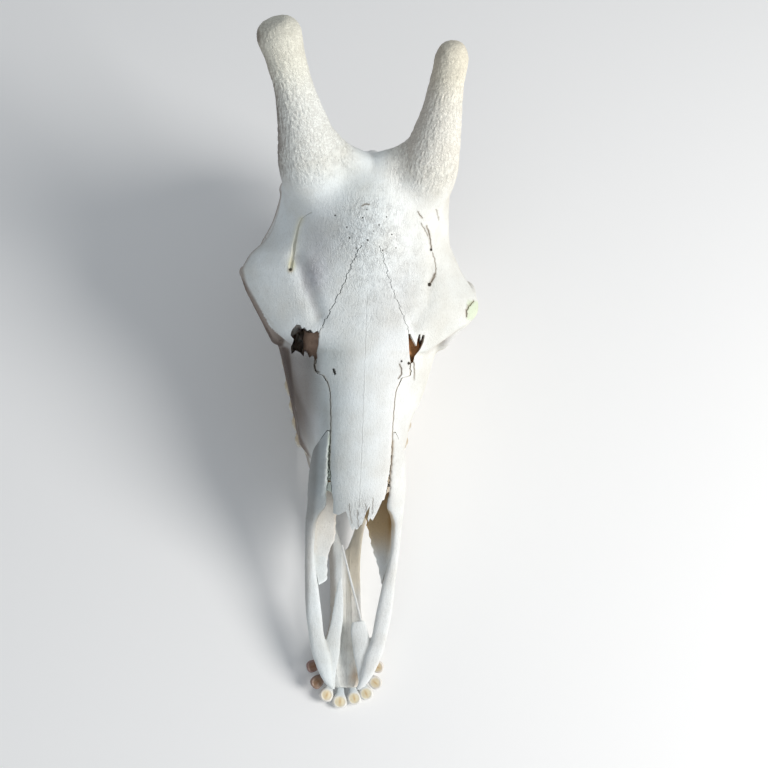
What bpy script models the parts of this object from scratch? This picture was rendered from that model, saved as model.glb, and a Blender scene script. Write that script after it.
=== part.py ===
"""A giraffe skull with its lower jaw closed, lying on the floor on the base of the jaw.

Measures are millimetres in the frame of the face and become metres when a mesh is made:
x runs to the skull's left, y runs back from the tips of the premaxillae along the flat of
the nasal bones, and z rises from that flat. Measures of the jaws are taken in the frame of
the palate, which slopes down and back under the face, and are turned into the first frame.
"""

import math

import bmesh
import bpy
import numpy as np
from mathutils import Matrix, Vector

MM = 0.001
SUTURE_GAP = 0.3
VOXEL = 2.6
SMOOTH_PASSES = 5
FAR = 900.0

# The palate's line under the face, and the two points of the jaw's base that bear on the floor.
PALATE_SLOPE = math.radians(21.0)
PALATE_DROP = 20.0
CHIN_BASE = (80.0, -42.0)
ANGLE_BASE = (452.0, -88.0)
REST_RISE = PALATE_SLOPE + math.atan2(CHIN_BASE[1] - ANGLE_BASE[1], ANGLE_BASE[0] - CHIN_BASE[0])
FLAT_DEPTH = 1.3

# The snout bends a little to the skull's right in front of this station.
BEND_FROM = 240.0
BEND_AT_TIP = -5.5
BEND_POWER = 1.4
JAW_LEAN = ((-30, -3), (75, -4.5), (110, -5.2), (140, -4.8), (190, -2.5), (240, 0))

# Midline of the roof, then half-sections of the core: shoulder, side, tooth margin and base.
ROOF = ((150, -5), (168, -2.5), (188, -1.5), (230, 0), (300, 0), (350, 1), (385, 3), (405, 6),
        (420, 11), (438, 18), (455, 20), (475, 17), (494, 10), (505, 5), (512, -2), (519, -40),
        (527, -98), (541, -162))
SHOULDER_X = ((188, 26), (220, 29.5), (284, 32), (296, 38), (306, 46), (325, 50), (345, 56),
              (400, 62), (430, 64), (470, 62), (505, 55), (520, 46), (533, 40), (541, 28))
SHOULDER_Z = ((188, -9), (284, -10), (306, -16), (345, -22), (400, -18), (430, -12), (470, -8),
              (505, -14), (518, -44), (530, -112), (541, -166))
SIDE_X = ((188, 42), (220, 46), (250, 52), (284, 66), (305, 72), (325, 78), (334, 84), (340, 80),
          (348, 60), (360, 46), (390, 42), (430, 50), (460, 54), (500, 56), (528, 54), (541, 36))
SIDE_Z = ((188, -42), (250, -58), (284, -60), (330, -66), (350, -75), (390, -80), (430, -92),
          (460, -100), (500, -112), (541, -174))
MARGIN_X = ((188, 41), (205, 43), (216, 46), (228, 56), (250, 61), (284, 68), (305, 73),
            (335, 79), (352, 76), (362, 56), (372, 36), (390, 26), (430, 34), (460, 44), (500, 50),
            (528, 50), (541, 34))
MARGIN_Z = ((188, -91), (214, -103), (228, -111), (250, -121), (284, -134), (305, -142),
            (335, -154), (355, -158), (372, -147), (390, -147), (430, -155), (460, -167), (500, -188),
            (528, -203), (541, -200))
GUM_X = ((188, 28), (220, 36), (284, 44), (335, 52), (352, 50), (365, 30), (390, 14), (430, 16),
         (500, 24), (541, 18))
BASE_Z = ((188, -89), (220, -100), (284, -125), (335, -144), (360, -147), (390, -149),
          (430, -159), (500, -200), (541, -208))
CORE_FROM, CORE_TO, CORE_STEP = 188.0, 541.0, 4.0
CROWN_X, CROWN_FALL = 0.55, 0.28

# The frontal shelf over the orbits: half-width of its rim, the rim's height and thickness.
SHELF_X_LEFT = ((326, 66), (336, 80), (348, 94), (358, 109), (367, 116), (376, 117), (387, 113),
                (397, 107), (406, 100), (417, 94), (428, 88), (441, 85), (461, 84), (480, 84),
                (500, 80), (512, 66), (521, 44))
SHELF_X_RIGHT = ((326, 66), (336, 80), (352, 91), (365, 102), (378, 111), (390, 118), (402, 121),
                 (410, 117), (417, 113), (426, 104), (436, 95), (446, 91), (461, 87), (480, 86),
                 (500, 80), (512, 66), (521, 44))
SHELF_Z = ((326, -34), (352, -36), (378, -42), (402, -50), (422, -50), (441, -44), (461, -38),
           (480, -36), (500, -40), (521, -60))
SHELF_RIM = 10.0
SHELF_UNDER = 16.0
SHELF_FROM, SHELF_TO = 326.0, 521.0

# Ossicones: points of the axis with the radius there, from inside the frontal to the tip.
OSSICONE_RIGHT = ((-45, 468, -36, 25), (-56, 494, -9, 32), (-66, 526, 29, 26),
                  (-74, 548, 49, 20.5), (-81, 567, 63, 18.2), (-88, 585, 77, 18.6),
                  (-94, 600, 90, 20.8), (-96.5, 605.5, 94.5, 19), (-98, 609, 97.5, 15),
                  (-99, 611, 99, 9))
OSSICONE_LEFT = ((43, 468, -36, 25), (53, 494, -9, 31), (57.5, 527, 28, 24), (60, 555, 50, 18.5),
                 (60.5, 575, 69, 16.2), (61.2, 588, 82, 16), (61.5, 595, 88.5, 14.2),
                 (62, 600, 93, 10), (62, 602.5, 95, 5))
OSSICONE_BASE_RIGHT = (-64, 514, 20)
OSSICONE_BASE_LEFT = (56.5, 514, 18)
OSSICONE_REACH = 200.0
OSSICONE_BLOCK = 50.0
SADDLE = ((0, 498.5, -6, 14), (30, 508, 4, 16), (56, 526, 24, 17))

# Orbit: the ring of its rim, with the tube's radius, and the socket behind it.
RIM_LEFT = ((82, 337, -48, 7), (93, 350, -43, 6.5), (108, 365, -46, 6), (110, 381, -56, 6.5),
            (111, 392, -76, 7), (110, 395, -101, 7), (107, 382, -113, 6.5), (97, 363, -113, 6.5),
            (87, 345, -100, 7), (83, 336, -72, 7))
RIM_RIGHT = ((-82, 337, -48, 7), (-92, 354, -43, 6.5), (-109, 379, -48, 6), (-115, 396, -58, 6.5),
             (-116, 401, -78, 7), (-113, 399, -102, 7), (-108, 384, -113, 6.5),
             (-97, 363, -113, 6.5), (-87, 345, -100, 7), (-83, 336, -72, 7))
SOCKET_CENTRE = (92, 374, -79)
SOCKET_SIZE = (46, 27, 27)
SOCKET_TURN = math.radians(-28.0)

# Zygomatic arch as a flat strap from the cheek to the jaw joint.
ARCH = ((88, 350, -114, 6), (104, 378, -118, 6), (106, 402, -119, 6), (98, 428, -124, 5.5),
        (85, 455, -131, 5.5), (79, 476, -138, 5.5), (74, 498, -142, 6))
ARCH_DEPTH = 1.6

# Parts of the braincase and occiput, each with its place and radii.
JOINT_SHELF = (64, 493, -141), (20, 15, 13)
OCCIPITAL_CONDYLE = (20, 533, -198), (14, 15, 18)
BULLA = (31, 500, -198), (11, 20, 14)
CREST = ((52, 516, -104, 7), (28, 521, -95, 7), (0, 523, -92, 7), (-28, 521, -95, 7),
         (-52, 516, -104, 7))
MASTOID = ((52, 515, -102, 8), (60, 514, -138, 10), (52, 518, -178, 11))
JUGULAR_PROCESS = ((46, 520, -182, 10), (47, 524, -208, 8), (45, 527, -230, 5))
BASILAR = ((0, 415, -152, 12), (0, 470, -176, 15), (0, 535, -204, 16))
FORAMEN_MAGNUM = (0, 541, -184), (15, 26, 15)
PTERYGOID = ((345, -146), (432, -156), (430, -184), (405, -184), (385, -172), (345, -158))
PTERYGOID_X = (19.0, 25.0)

# Fore part of the maxilla: a low side wall with a shelf of palate turned in from its foot.
FORE_WALL_X = ((90, 38), (120, 43.5), (150, 46), (185, 47), (202, 46.5))
FORE_WALL_TOP = ((90, -54), (120, -55), (150, -50), (185, -40), (202, -36))
FORE_SHELF_X_LEFT = ((90, 32), (110, 27), (130, 20), (150, 15), (170, 10), (186, 4), (194, -2))
FORE_SHELF_X_RIGHT = ((90, 31), (93, 25), (98, 22), (115, 22.5), (125, 20), (135, 15.5), (156, 15),
                      (170, 10), (186, 4), (194, -2))
FORE_WALL_THICK = 6.0
FORE_SHELF_THICK = 6.0
FORE_FROM, FORE_TO = 90.0, 202.0
BEAK_X = ((148, 25), (170, 25), (200, 27), (212, 27))
BEAK_DROP = 8.0
BEAK_THICK = 5.5
BEAK_FROM, BEAK_TO = 148.0, 212.0

# Nasal cavity inside the snout.
CAVITY_TOP_X = ((176, 21), (250, 24), (284, 27), (305, 41), (330, 56), (345, 52), (354, 30))
CAVITY_TOP_Z = ((176, -13), (284, -15), (305, -22), (330, -27), (354, -32))
CAVITY_SIDE_X = ((176, 36), (220, 40), (250, 46), (284, 58), (305, 65), (330, 70), (345, 62),
                 (354, 40))
CAVITY_SIDE_Z = ((176, -48), (284, -62), (354, -72))
CAVITY_FLOOR_X = ((176, 26), (250, 33), (284, 36), (335, 40), (354, 32))
CAVITY_FLOOR_Z = ((176, -76), (220, -92), (284, -117), (335, -135), (354, -124))
CAVITY_ROOF = 5.5
CAVITY_FROM, CAVITY_TO = 176.0, 354.0

# The two gaps at the root of the snout, open to the cavity.
GAP_RIGHT = ((-47, 318), (-50, 333), (-45, 343), (-52, 347), (-58, 341), (-63, 349), (-71, 352),
             (-73, 344), (-65, 336), (-70, 328), (-60, 330), (-54, 319))
GAP_LEFT = ((43, 314), (54, 320), (58, 330), (61, 340), (54, 337), (51, 344), (45, 342), (41, 328))
GAP_DEPTH = 75.0

# Plan of the nasal bones: half-width along their length, and the broken front edges.
NASAL_X = ((140, 26), (182, 26), (200, 27.5), (221, 29.5), (245, 29.7), (284, 31.5), (293, 34),
           (300, 38), (303, 46), (335, 45), (345, 42), (365, 33), (390, 22), (415, 13), (425, 8))
NASAL_STATIONS = (140, 182, 221, 245, 284, 293, 300, 303, 320, 335, 345, 365, 390, 400, 408,
                  415, 425)
NASAL_DEPTH = 7.5
NASAL_CURVE = 0.0105
NASAL_BLOCK = 60.0
TIP_RIGHT = ((-60, 120), (-60, 170), (-22.5, 168), (-17, 163), (-13, 172), (-8, 160),
             (-3, 152.6), (2, 154), (2, 120))
TIP_LEFT = ((-2, 120), (-2, 155), (4.5, 164), (7, 170), (9.4, 176.6), (13.7, 163.7), (19, 176),
            (22, 182), (60, 184), (60, 120))

# Premaxilla: outer and inner edge, the height of each, and the thickness of the bar.
PREMAX_OUT_X = ((-8, 14.5), (-3, 20), (5.5, 26), (15.5, 31), (26.5, 35.4), (45, 39.4), (64, 42.8),
                (86, 45), (125, 47), (150, 47.5), (185, 47.5), (205, 47), (225, 44.5), (240, 37),
                (247, 33))
PREMAX_IN_X = ((-8, 10), (0, 12.5), (9, 14.5), (24, 17), (39, 22.6), (63, 26.6), (90, 31.5), (97, 33),
               (113, 36), (130, 38), (151, 38.2), (164, 34.8), (170, 31.4), (181, 29.2), (200, 28.7),
               (219, 29), (247, 30.2))
PREMAX_OUT_Z = ((-8, -29), (3, -30), (60, -43), (100, -50), (150, -48), (186, -37), (205, -36),
                (225, -34), (240, -22), (247, -14))
PREMAX_IN_Z = ((-8, -29), (3, -30), (60, -43), (100, -50), (150, -43), (186, -17), (200, -12),
               (247, -11))
PREMAX_HALF = ((-8, 1.8), (-3, 4), (8, 5), (30, 5.5), (60, 5.5), (150, 5), (200, 4), (235, 3.2),
               (247, 1.6))
PREMAX_FROM, PREMAX_TO, PREMAX_STEP = -8.0, 247.0, 12.0
PREMAX_SIDES = 10
BLADE_RIGHT = ((-13, -6, -30, 3.5), (-16.5, 10, -33, 7), (-15.5, 28, -36, 8.5),
               (-13.8, 42, -39, 7.2), (-11.5, 60, -42, 6.2), (-10.5, 80, -46, 4.6),
               (-10, 100, -51, 1.5))
BLADE_LEFT = ((16, -6, -30, 3.2), (17, 10, -33, 7), (15, 28, -37, 9.5), (11.5, 45, -42, 9.2), (9.5, 57, -43, 6.5))
BLADE_FLAT = 0.32

FACE_UNDER, FACE_OVER = -260.0, 60.0

# Bones parted by sutures, drawn from the side: back edge of the maxilla, and the zygomatic.
MAXILLA_EDGE = ((318, FACE_OVER), (318, -20), (335, -48), (338, -86), (331, -120), (352, -140),
                (371, -152), (371, FACE_UNDER))
ZYGOMATIC = ((333, -92), (348, -87), (390, -99), (412, -96), (426, -112), (440, -121),
             (432, -142), (352, -136), (332, -118))
ZYGOMATIC_X = (60.0, 150.0)

# Cheek teeth from front to back: length and width of each, in the frame of the palate.
UPPER_TEETH = ((18, 21), (19, 23), (18, 24), (26, 26), (28, 27), (28, 25))
LOWER_TEETH = ((17, 12), (20, 14), (20, 16), (24, 18), (27, 19), (33, 18))
TOOTH_ROW_FROM = 243.0
UPPER_ROW_X = ((241, 48), (280, 53.5), (320, 60), (388, 66))
LOWER_ROW_X = ((236, 41), (280, 45), (320, 49), (395, 58))
BITE_Z = -15.0
BITE_GAP = 0.8
TOOTH_ROOT = 16.0
UPPER_ROOT_MORE, LOWER_ROOT_MORE = 5.0, 4.0
ROOT_NARROW = 0.7
LOWER_ROW_AHEAD = 4.0
TOOTH_CUSP = 2.2
TOOTH_SPACE = 0.5

# Lower jaw in the frame of the palate: inner and outer face, upper and lower edge.
JAW_IN_X = ((-1, 0), (137, 0), (141, 2.5), (148, 6.3), (159, 9.8), (175, 13.5), (200, 20), (240, 35),
            (300, 41), (360, 48), (400, 55), (440, 60))
JAW_OUT_X = ((-1, 13), (4, 20), (10, 25.5), (20, 30), (28, 30.5), (40, 26), (60, 18), (85, 16),
             (110, 16), (135, 16.8), (162, 20), (200, 31), (240, 43), (262, 50), (300, 56),
             (360, 65), (400, 70), (440, 71))
JAW_TOP_Z = ((-1, -19.5), (20, -17), (60, -15.5), (135, -16), (200, -17), (232, -21), (260, -23),
             (400, -24), (440, -25))
JAW_LOW_Z = ((-1, -29), (10, -33), (40, -38), (70, -41.5), (92, -42), (135, -40), (190, -42),
             (240, -54), (300, -66), (360, -75), (400, -81), (440, -88))
JAW_FROM, JAW_TO, JAW_STEP = -1.0, 440.0, 7.0
JAW_SIDES = 14
TROUGH = ((-20, 0, -11, 11), (20, 0, -10, 13), (60, 0, -11, 8), (140, 0, -12, 6))
RAMUS = ((392, -32), (405, -21), (416, -2), (426, 26), (439, 60), (454, 86), (468, 98),
         (479, 101), (486, 96), (483, 82), (480, 66), (484, 53), (495, 47), (508, 47),
         (514, 40), (511, 26), (503, 6), (499, -20), (497, -45), (490, -66), (478, -80),
         (462, -87), (440, -90), (418, -86), (392, -80))
RAMUS_X = (60.0, 69.0)
JAW_CONDYLE = ((48, 4, 6), (56, 0, 8), (68, 0, 8), (78, 3, 6))
CONDYLE_AT = (505.0, 44.0)
GLENOID_GAP = 0.5

# Incisors and canine: each crown's place across, along and up, then its width and turn.
INCISORS_LEFT = ((6.8, -17.6, -38, 13.5, 8), (18.4, -13, -38.4, 13.5, 24), (27.2, -2.5, -39, 12.5, 50),
                 (28.8, 12.5, -41.5, 12, 72))
INCISORS_RIGHT = ((7.2, -21, -38, 14.5, 6), (20.2, -14.6, -38.4, 13.5, 24), (29.6, -2.4, -39, 12.5, 50),
                  (33.8, 12.5, -41.5, 12, 72))
INCISOR_LENGTH = 28.0
INCISOR_AHEAD = 7.5
INCISOR_RISE = math.radians(25.0)
INCISOR_THICK = 7.6

UPPER_TRIANGLES = 5200
JAW_TRIANGLES = 1150

BONE_LIGHT = (0.87, 0.87, 0.84)
BONE_WARM = (0.84, 0.82, 0.76)
BONE_GREY = (0.74, 0.76, 0.76)


def curve(knots):
    """A smooth function through the knots, without overshoot and level beyond its ends."""
    at, value = np.array(knots, float).T
    step = np.diff(at)
    slope = np.diff(value) / step
    lean = np.zeros(len(at))
    for i in range(1, len(at) - 1):
        if slope[i - 1] * slope[i] > 0:
            lean[i] = 2 * slope[i - 1] * slope[i] / (slope[i - 1] + slope[i])
    lean[0], lean[-1] = slope[0], slope[-1]

    def read(x):
        x = np.clip(x, at[0], at[-1])
        i = np.clip(np.searchsorted(at, x, side="right") - 1, 0, len(at) - 2)
        t = (x - at[i]) / step[i]
        rest = 1 - t
        return (value[i] * (1 + 2 * t) * rest**2 + value[i + 1] * t**2 * (3 - 2 * t)
                + step[i] * (lean[i] * t * rest**2 - lean[i + 1] * t**2 * rest))

    return read


def from_palate(x, z):
    """Depth along the face and height over it of a point given in the frame of the palate."""
    along = x * math.cos(PALATE_SLOPE) + z * math.sin(PALATE_SLOPE)
    up = -PALATE_DROP - x * math.sin(PALATE_SLOPE) + z * math.cos(PALATE_SLOPE)
    return along, up


def mesh_object(name, points, faces):
    mesh = bpy.data.meshes.new(name)
    mesh.from_pydata([tuple(np.array(p, float) * MM) for p in points], [], faces)
    bm = bmesh.new()
    bm.from_mesh(mesh)
    bmesh.ops.recalc_face_normals(bm, faces=bm.faces)
    bm.to_mesh(mesh)
    bm.free()
    obj = bpy.data.objects.new(name, mesh)
    bpy.context.scene.collection.objects.link(obj)
    return obj


def loft(name, rings):
    """A closed solid through rings of equal count, with flat ends."""
    count = len(rings[0])
    points = [p for ring in rings for p in ring]
    faces = [tuple(reversed(range(count)))]
    for i in range(len(rings) - 1):
        for j in range(count):
            k = (j + 1) % count
            near, far = i * count, (i + 1) * count
            faces += [(near + j, near + k, far + k), (near + j, far + k, far + j)]
    faces.append(tuple(range((len(rings) - 1) * count, len(rings) * count)))
    return mesh_object(name, points, faces)


def half_line(corners, steps):
    """A smooth line through the corners of one half of a section, top to bottom."""
    corners = np.array(corners, float)
    gone = np.concatenate([[0], np.cumsum(np.linalg.norm(np.diff(corners, axis=0), axis=1))])
    across = curve(tuple(zip(gone, corners[:, 0])))
    height = curve(tuple(zip(gone, corners[:, 1])))
    t = np.linspace(0, gone[-1], steps)
    return [(float(across(s)), float(height(s))) for s in t]


def half_section(corners, steps):
    """A full ring at one station from the corners of its left half, top to bottom."""
    left = half_line(corners, steps)
    return left + [(-x, z) for x, z in reversed(left[1:-1])]


def tube(name, knots, sides=12, depth=1.0, steps=4):
    """A round or flattened tube through (x, y, z, radius) knots."""
    knots = np.array(knots, float)
    t = np.arange(len(knots), dtype=float)
    reads = [curve(tuple(zip(t, knots[:, i]))) for i in range(4)]
    fine = np.linspace(0, len(knots) - 1, steps * (len(knots) - 1) + 1)
    line = np.array([[float(read(s)) for read in reads] for s in fine])
    rings = []
    for i, row in enumerate(line):
        ahead = line[min(i + 1, len(line) - 1), :3] - line[max(i - 1, 0), :3]
        ahead = Vector(ahead).normalized()
        side = ahead.cross(Vector((0, 0, 1)))
        side = side.normalized() if side.length > 0.05 else Vector((1, 0, 0))
        up = side.cross(ahead).normalized()
        ring = []
        for j in range(sides):
            a = 2 * math.pi * j / sides
            offset = side * math.cos(a) * row[3] + up * math.sin(a) * row[3] * depth
            ring.append(tuple(Vector(row[:3]) + offset))
        rings.append(ring)
    return loft(name, rings)


def ring_tube(name, knots, sides=10, steps=4):
    """A tube round a closed loop of (x, y, z, radius) knots."""
    knots = np.array(knots, float)
    count = len(knots) * steps
    centre = Vector(knots[:, :3].mean(axis=0))
    line = []
    for i in range(count):
        k, t = divmod(i, steps)
        t /= steps
        p = [knots[(k + d) % len(knots)] for d in (-1, 0, 1, 2)]
        line.append(0.5 * (2 * p[1] + (p[2] - p[0]) * t
                           + (2 * p[0] - 5 * p[1] + 4 * p[2] - p[3]) * t**2
                           + (3 * p[1] - p[0] - 3 * p[2] + p[3]) * t**3))
    points = []
    for i in range(count):
        ahead = Vector(line[(i + 1) % count][:3] - line[i - 1][:3]).normalized()
        here = Vector(line[i][:3])
        out = (here - centre).normalized()
        out = (out - ahead * out.dot(ahead)).normalized()
        side = ahead.cross(out)
        for j in range(sides):
            a = 2 * math.pi * j / sides
            points.append(here + (out * math.cos(a) + side * math.sin(a)) * line[i][3])
    faces = []
    for i in range(count):
        for j in range(sides):
            k, n = (j + 1) % sides, (i + 1) % count
            faces.append((i * sides + j, i * sides + k, n * sides + k, n * sides + j))
    return mesh_object(name, [tuple(p) for p in points], faces)


def ball(name, centre, size, turn=0.0, rings=12, sides=18):
    """An ellipsoid, turned about the upright axis."""
    points = [(0, 0, 1)]
    for i in range(1, rings):
        a = math.pi * i / rings
        for j in range(sides):
            b = 2 * math.pi * j / sides
            points.append((math.sin(a) * math.cos(b), math.sin(a) * math.sin(b), math.cos(a)))
    points.append((0, 0, -1))
    spin = Matrix.Rotation(turn, 3, "Z")
    placed = []
    for p in points:
        stretched = Vector([p[i] * size[i] for i in range(3)])
        placed.append(tuple(spin @ stretched + Vector(centre)))
    faces = [(0, 1 + j, 1 + (j + 1) % sides) for j in range(sides)]
    for i in range(rings - 2):
        for j in range(sides):
            a, b = 1 + i * sides, 1 + (i + 1) * sides
            k = (j + 1) % sides
            faces.append((a + j, b + j, b + k, a + k))
    last = 1 + (rings - 2) * sides
    faces += [(len(points) - 1, last + (j + 1) % sides, last + j) for j in range(sides)]
    return mesh_object(name, placed, faces)


def prism(name, outline, view, low, high):
    """An outline seen from the top (x, y) or the side (y, z), drawn out from low to high."""
    if view == "top":
        rings = [[(a, b, level) for a, b in outline] for level in (low, high)]
    else:
        rings = [[(level, a, b) for a, b in outline] for level in (low, high)]
    return loft(name, rings)


def mirrored(knots):
    return [(-k[0],) + tuple(k[1:]) for k in knots]


def evaluated(obj):
    """Applies the object's modifiers."""
    graph = bpy.context.evaluated_depsgraph_get()
    graph.update()
    mesh = bpy.data.meshes.new_from_object(obj.evaluated_get(graph))
    obj.modifiers.clear()
    old = obj.data
    obj.data = mesh
    bpy.data.meshes.remove(old)
    return obj


def remove(*objects):
    for obj in objects:
        mesh = obj.data
        bpy.data.objects.remove(obj)
        bpy.data.meshes.remove(mesh)


def copy_of(obj, name):
    twin = bpy.data.objects.new(name, obj.data.copy())
    bpy.context.scene.collection.objects.link(twin)
    return twin


def joined(name, pieces):
    """One object that holds the meshes of all the pieces, which may cross."""
    bm = bmesh.new()
    for piece in pieces:
        bm.from_mesh(piece.data)
    mesh = bpy.data.meshes.new(name)
    bm.to_mesh(mesh)
    bm.free()
    obj = bpy.data.objects.new(name, mesh)
    bpy.context.scene.collection.objects.link(obj)
    remove(*pieces)
    return obj


def fused(name, pieces, voxel, passes):
    """The pieces melted into one skin and smoothed."""
    obj = joined(name, pieces)
    remesh = obj.modifiers.new("melt", "REMESH")
    remesh.mode = "VOXEL"
    remesh.voxel_size = voxel * MM
    smooth = obj.modifiers.new("soften", "SMOOTH")
    smooth.factor = 0.5
    smooth.iterations = passes
    return largest(evaluated(obj))


def thinned(obj, triangles):
    """The mesh with about this many triangles."""
    have = sum(len(p.vertices) - 2 for p in obj.data.polygons)
    decimate = obj.modifiers.new("thin", "DECIMATE")
    decimate.ratio = min(1.0, triangles / have)
    decimate.use_collapse_triangulate = True
    return evaluated(obj)


def combine(obj, other, operation):
    """Cuts the object with another one, or keeps what they share."""
    boolean = obj.modifiers.new(operation.lower(), "BOOLEAN")
    boolean.operation = operation
    boolean.solver = "MANIFOLD"
    boolean.object = other
    evaluated(obj)
    remove(other)
    return obj


def united(obj, pieces):
    """The object with all the pieces fused to it by one union."""
    group = bpy.data.collections.new("roots")
    for piece in pieces:
        group.objects.link(piece)
    boolean = obj.modifiers.new("union", "BOOLEAN")
    boolean.operation = "UNION"
    boolean.solver = "EXACT"
    boolean.operand_type = "COLLECTION"
    boolean.collection = group
    evaluated(obj)
    remove(*pieces)
    bpy.data.collections.remove(group)
    return obj


def largest(obj):
    """Keeps the closed surface that holds the most."""
    bm = bmesh.new()
    bm.from_mesh(obj.data)
    bmesh.ops.triangulate(bm, faces=bm.faces)
    bm.faces.ensure_lookup_table()
    seen = set()
    groups = []
    for face in bm.faces:
        if face.index in seen:
            continue
        seen.add(face.index)
        stack, group = [face], []
        while stack:
            here = stack.pop()
            group.append(here)
            for edge in here.edges:
                for near in edge.link_faces:
                    if near.index not in seen:
                        seen.add(near.index)
                        stack.append(near)
        groups.append(group)

    def volume(group):
        total = 0.0
        for face in group:
            a, b, c = [vert.co for vert in face.verts]
            total += a.dot(b.cross(c))
        return total

    groups.sort(key=volume, reverse=True)
    spare = [face for group in groups[1:] for face in group]
    bmesh.ops.delete(bm, geom=spare, context="FACES")
    bm.to_mesh(obj.data)
    bm.free()
    return obj


roof = curve(ROOF)


def core():
    shoulder_x, shoulder_z = curve(SHOULDER_X), curve(SHOULDER_Z)
    side_x, side_z = curve(SIDE_X), curve(SIDE_Z)
    margin_x, margin_z = curve(MARGIN_X), curve(MARGIN_Z)
    gum_x, base_z = curve(GUM_X), curve(BASE_Z)
    rings = []
    for y in np.linspace(CORE_FROM, CORE_TO, int((CORE_TO - CORE_FROM) / CORE_STEP) + 1):
        top, fall = roof(y), roof(y) - shoulder_z(y)
        half = [(0, top), (CROWN_X * shoulder_x(y), top - CROWN_FALL * fall),
                (shoulder_x(y), shoulder_z(y)), (side_x(y), side_z(y)),
                (margin_x(y), margin_z(y)), (gum_x(y), margin_z(y) + 2), (0, base_z(y))]
        rings.append([(x, y, z) for x, z in half_section(half, 30)])
    return loft("core", rings)


def shelf():
    left_x, right_x, shelf_z = curve(SHELF_X_LEFT), curve(SHELF_X_RIGHT), curve(SHELF_Z)
    rings = []
    for y in np.linspace(SHELF_FROM, SHELF_TO, 50):
        top, rim = roof(y), shelf_z(y)
        fall = top - rim
        halves = []
        for x in (left_x(y), right_x(y)):
            halves.append(half_line(
                [(0, top), (0.4 * x, top - 0.14 * fall), (0.78 * x, top - 0.52 * fall), (x, rim),
                 (x - 4, rim - SHELF_RIM), (0.6 * x, rim - SHELF_UNDER + 0.1 * fall),
                 (0, rim - SHELF_UNDER)], 28))
        ring = halves[0] + [(-a, b) for a, b in reversed(halves[1][1:-1])]
        rings.append([(a, y, b) for a, b in ring])
    return loft("shelf", rings)


def fore_maxilla(side):
    wall_x, wall_top = curve(FORE_WALL_X), curve(FORE_WALL_TOP)
    shelf_x = curve(FORE_SHELF_X_LEFT if side > 0 else FORE_SHELF_X_RIGHT)
    rings = []
    for y in np.linspace(FORE_FROM, FORE_TO, 24):
        foot = -PALATE_DROP - math.tan(PALATE_SLOPE) * y
        out, top, inner = wall_x(y), max(wall_top(y), foot + FORE_SHELF_THICK), shelf_x(y)
        thick = FORE_WALL_THICK
        corner = max(out - thick, inner + 1)
        ring = [(out, top), (out, (top + foot) / 2), (out - 1.5, foot), ((out + inner) / 2, foot),
                (inner, foot + 1), (inner, foot + FORE_SHELF_THICK - 1),
                ((corner + inner) / 2, foot + FORE_SHELF_THICK), (corner, foot + FORE_SHELF_THICK),
                (corner, (top + foot + FORE_SHELF_THICK) / 2), (corner, top)]
        rings.append([(side * x, y, z) for x, z in ring])
    return loft("fore_maxilla", rings)


def beak():
    """The free front of the nasal roof."""
    beak_x = curve(BEAK_X)
    rings = []
    for y in np.linspace(BEAK_FROM, BEAK_TO, 14):
        x = beak_x(y)
        over = [(t * x, roof(y) - BEAK_DROP * t * t) for t in np.linspace(-1, 1, 13)]
        under = [(a, b - BEAK_THICK) for a, b in reversed(over)]
        rings.append([(a, y, b) for a, b in over + under])
    return loft("beak", rings)


def upper_skull(voxel, passes):
    pieces = [core(), shelf(), beak(), fore_maxilla(1), fore_maxilla(-1)]
    pieces += [tube("ossicone", OSSICONE_RIGHT, 20), tube("ossicone", OSSICONE_LEFT, 20)]
    pieces += [tube("saddle", SADDLE), tube("saddle", mirrored(SADDLE))]
    pieces += [tube("crest", CREST), tube("basilar", BASILAR)]
    for side in (1, -1):
        flip = (lambda knots: knots) if side > 0 else mirrored
        pieces.append(ring_tube("rim", RIM_LEFT if side > 0 else RIM_RIGHT))
        pieces.append(tube("arch", flip(ARCH), 12, ARCH_DEPTH))
        pieces.append(tube("mastoid", flip(MASTOID)))
        pieces.append(tube("jugular", flip(JUGULAR_PROCESS)))
        for centre, size in (JOINT_SHELF, OCCIPITAL_CONDYLE, BULLA):
            pieces.append(ball("lump", (side * centre[0],) + centre[1:], size))
        near, far = sorted((side * PTERYGOID_X[0], side * PTERYGOID_X[1]))
        pieces.append(prism("pterygoid", PTERYGOID, "side", near, far))
    body = fused("upper", pieces, voxel, passes)
    for side in (1, -1):
        centre = (side * SOCKET_CENTRE[0],) + SOCKET_CENTRE[1:]
        combine(body, ball("socket", centre, SOCKET_SIZE, side * SOCKET_TURN, 10, 18), "DIFFERENCE")
    combine(body, ball("foramen", *FORAMEN_MAGNUM), "DIFFERENCE")
    return largest(body)


def cavity():
    top_x, top_z = curve(CAVITY_TOP_X), curve(CAVITY_TOP_Z)
    side_x, side_z = curve(CAVITY_SIDE_X), curve(CAVITY_SIDE_Z)
    floor_x, floor_z = curve(CAVITY_FLOOR_X), curve(CAVITY_FLOOR_Z)
    rings = []
    for y in np.linspace(CAVITY_FROM, CAVITY_TO, 14):
        half = [(0, roof(y) - CAVITY_ROOF), (top_x(y), top_z(y)), (side_x(y), side_z(y)),
                (floor_x(y), floor_z(y) + 3), (0, floor_z(y))]
        rings.append([(x, y, z) for x, z in half_section(half, 9)])
    return loft("cavity", rings)


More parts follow.
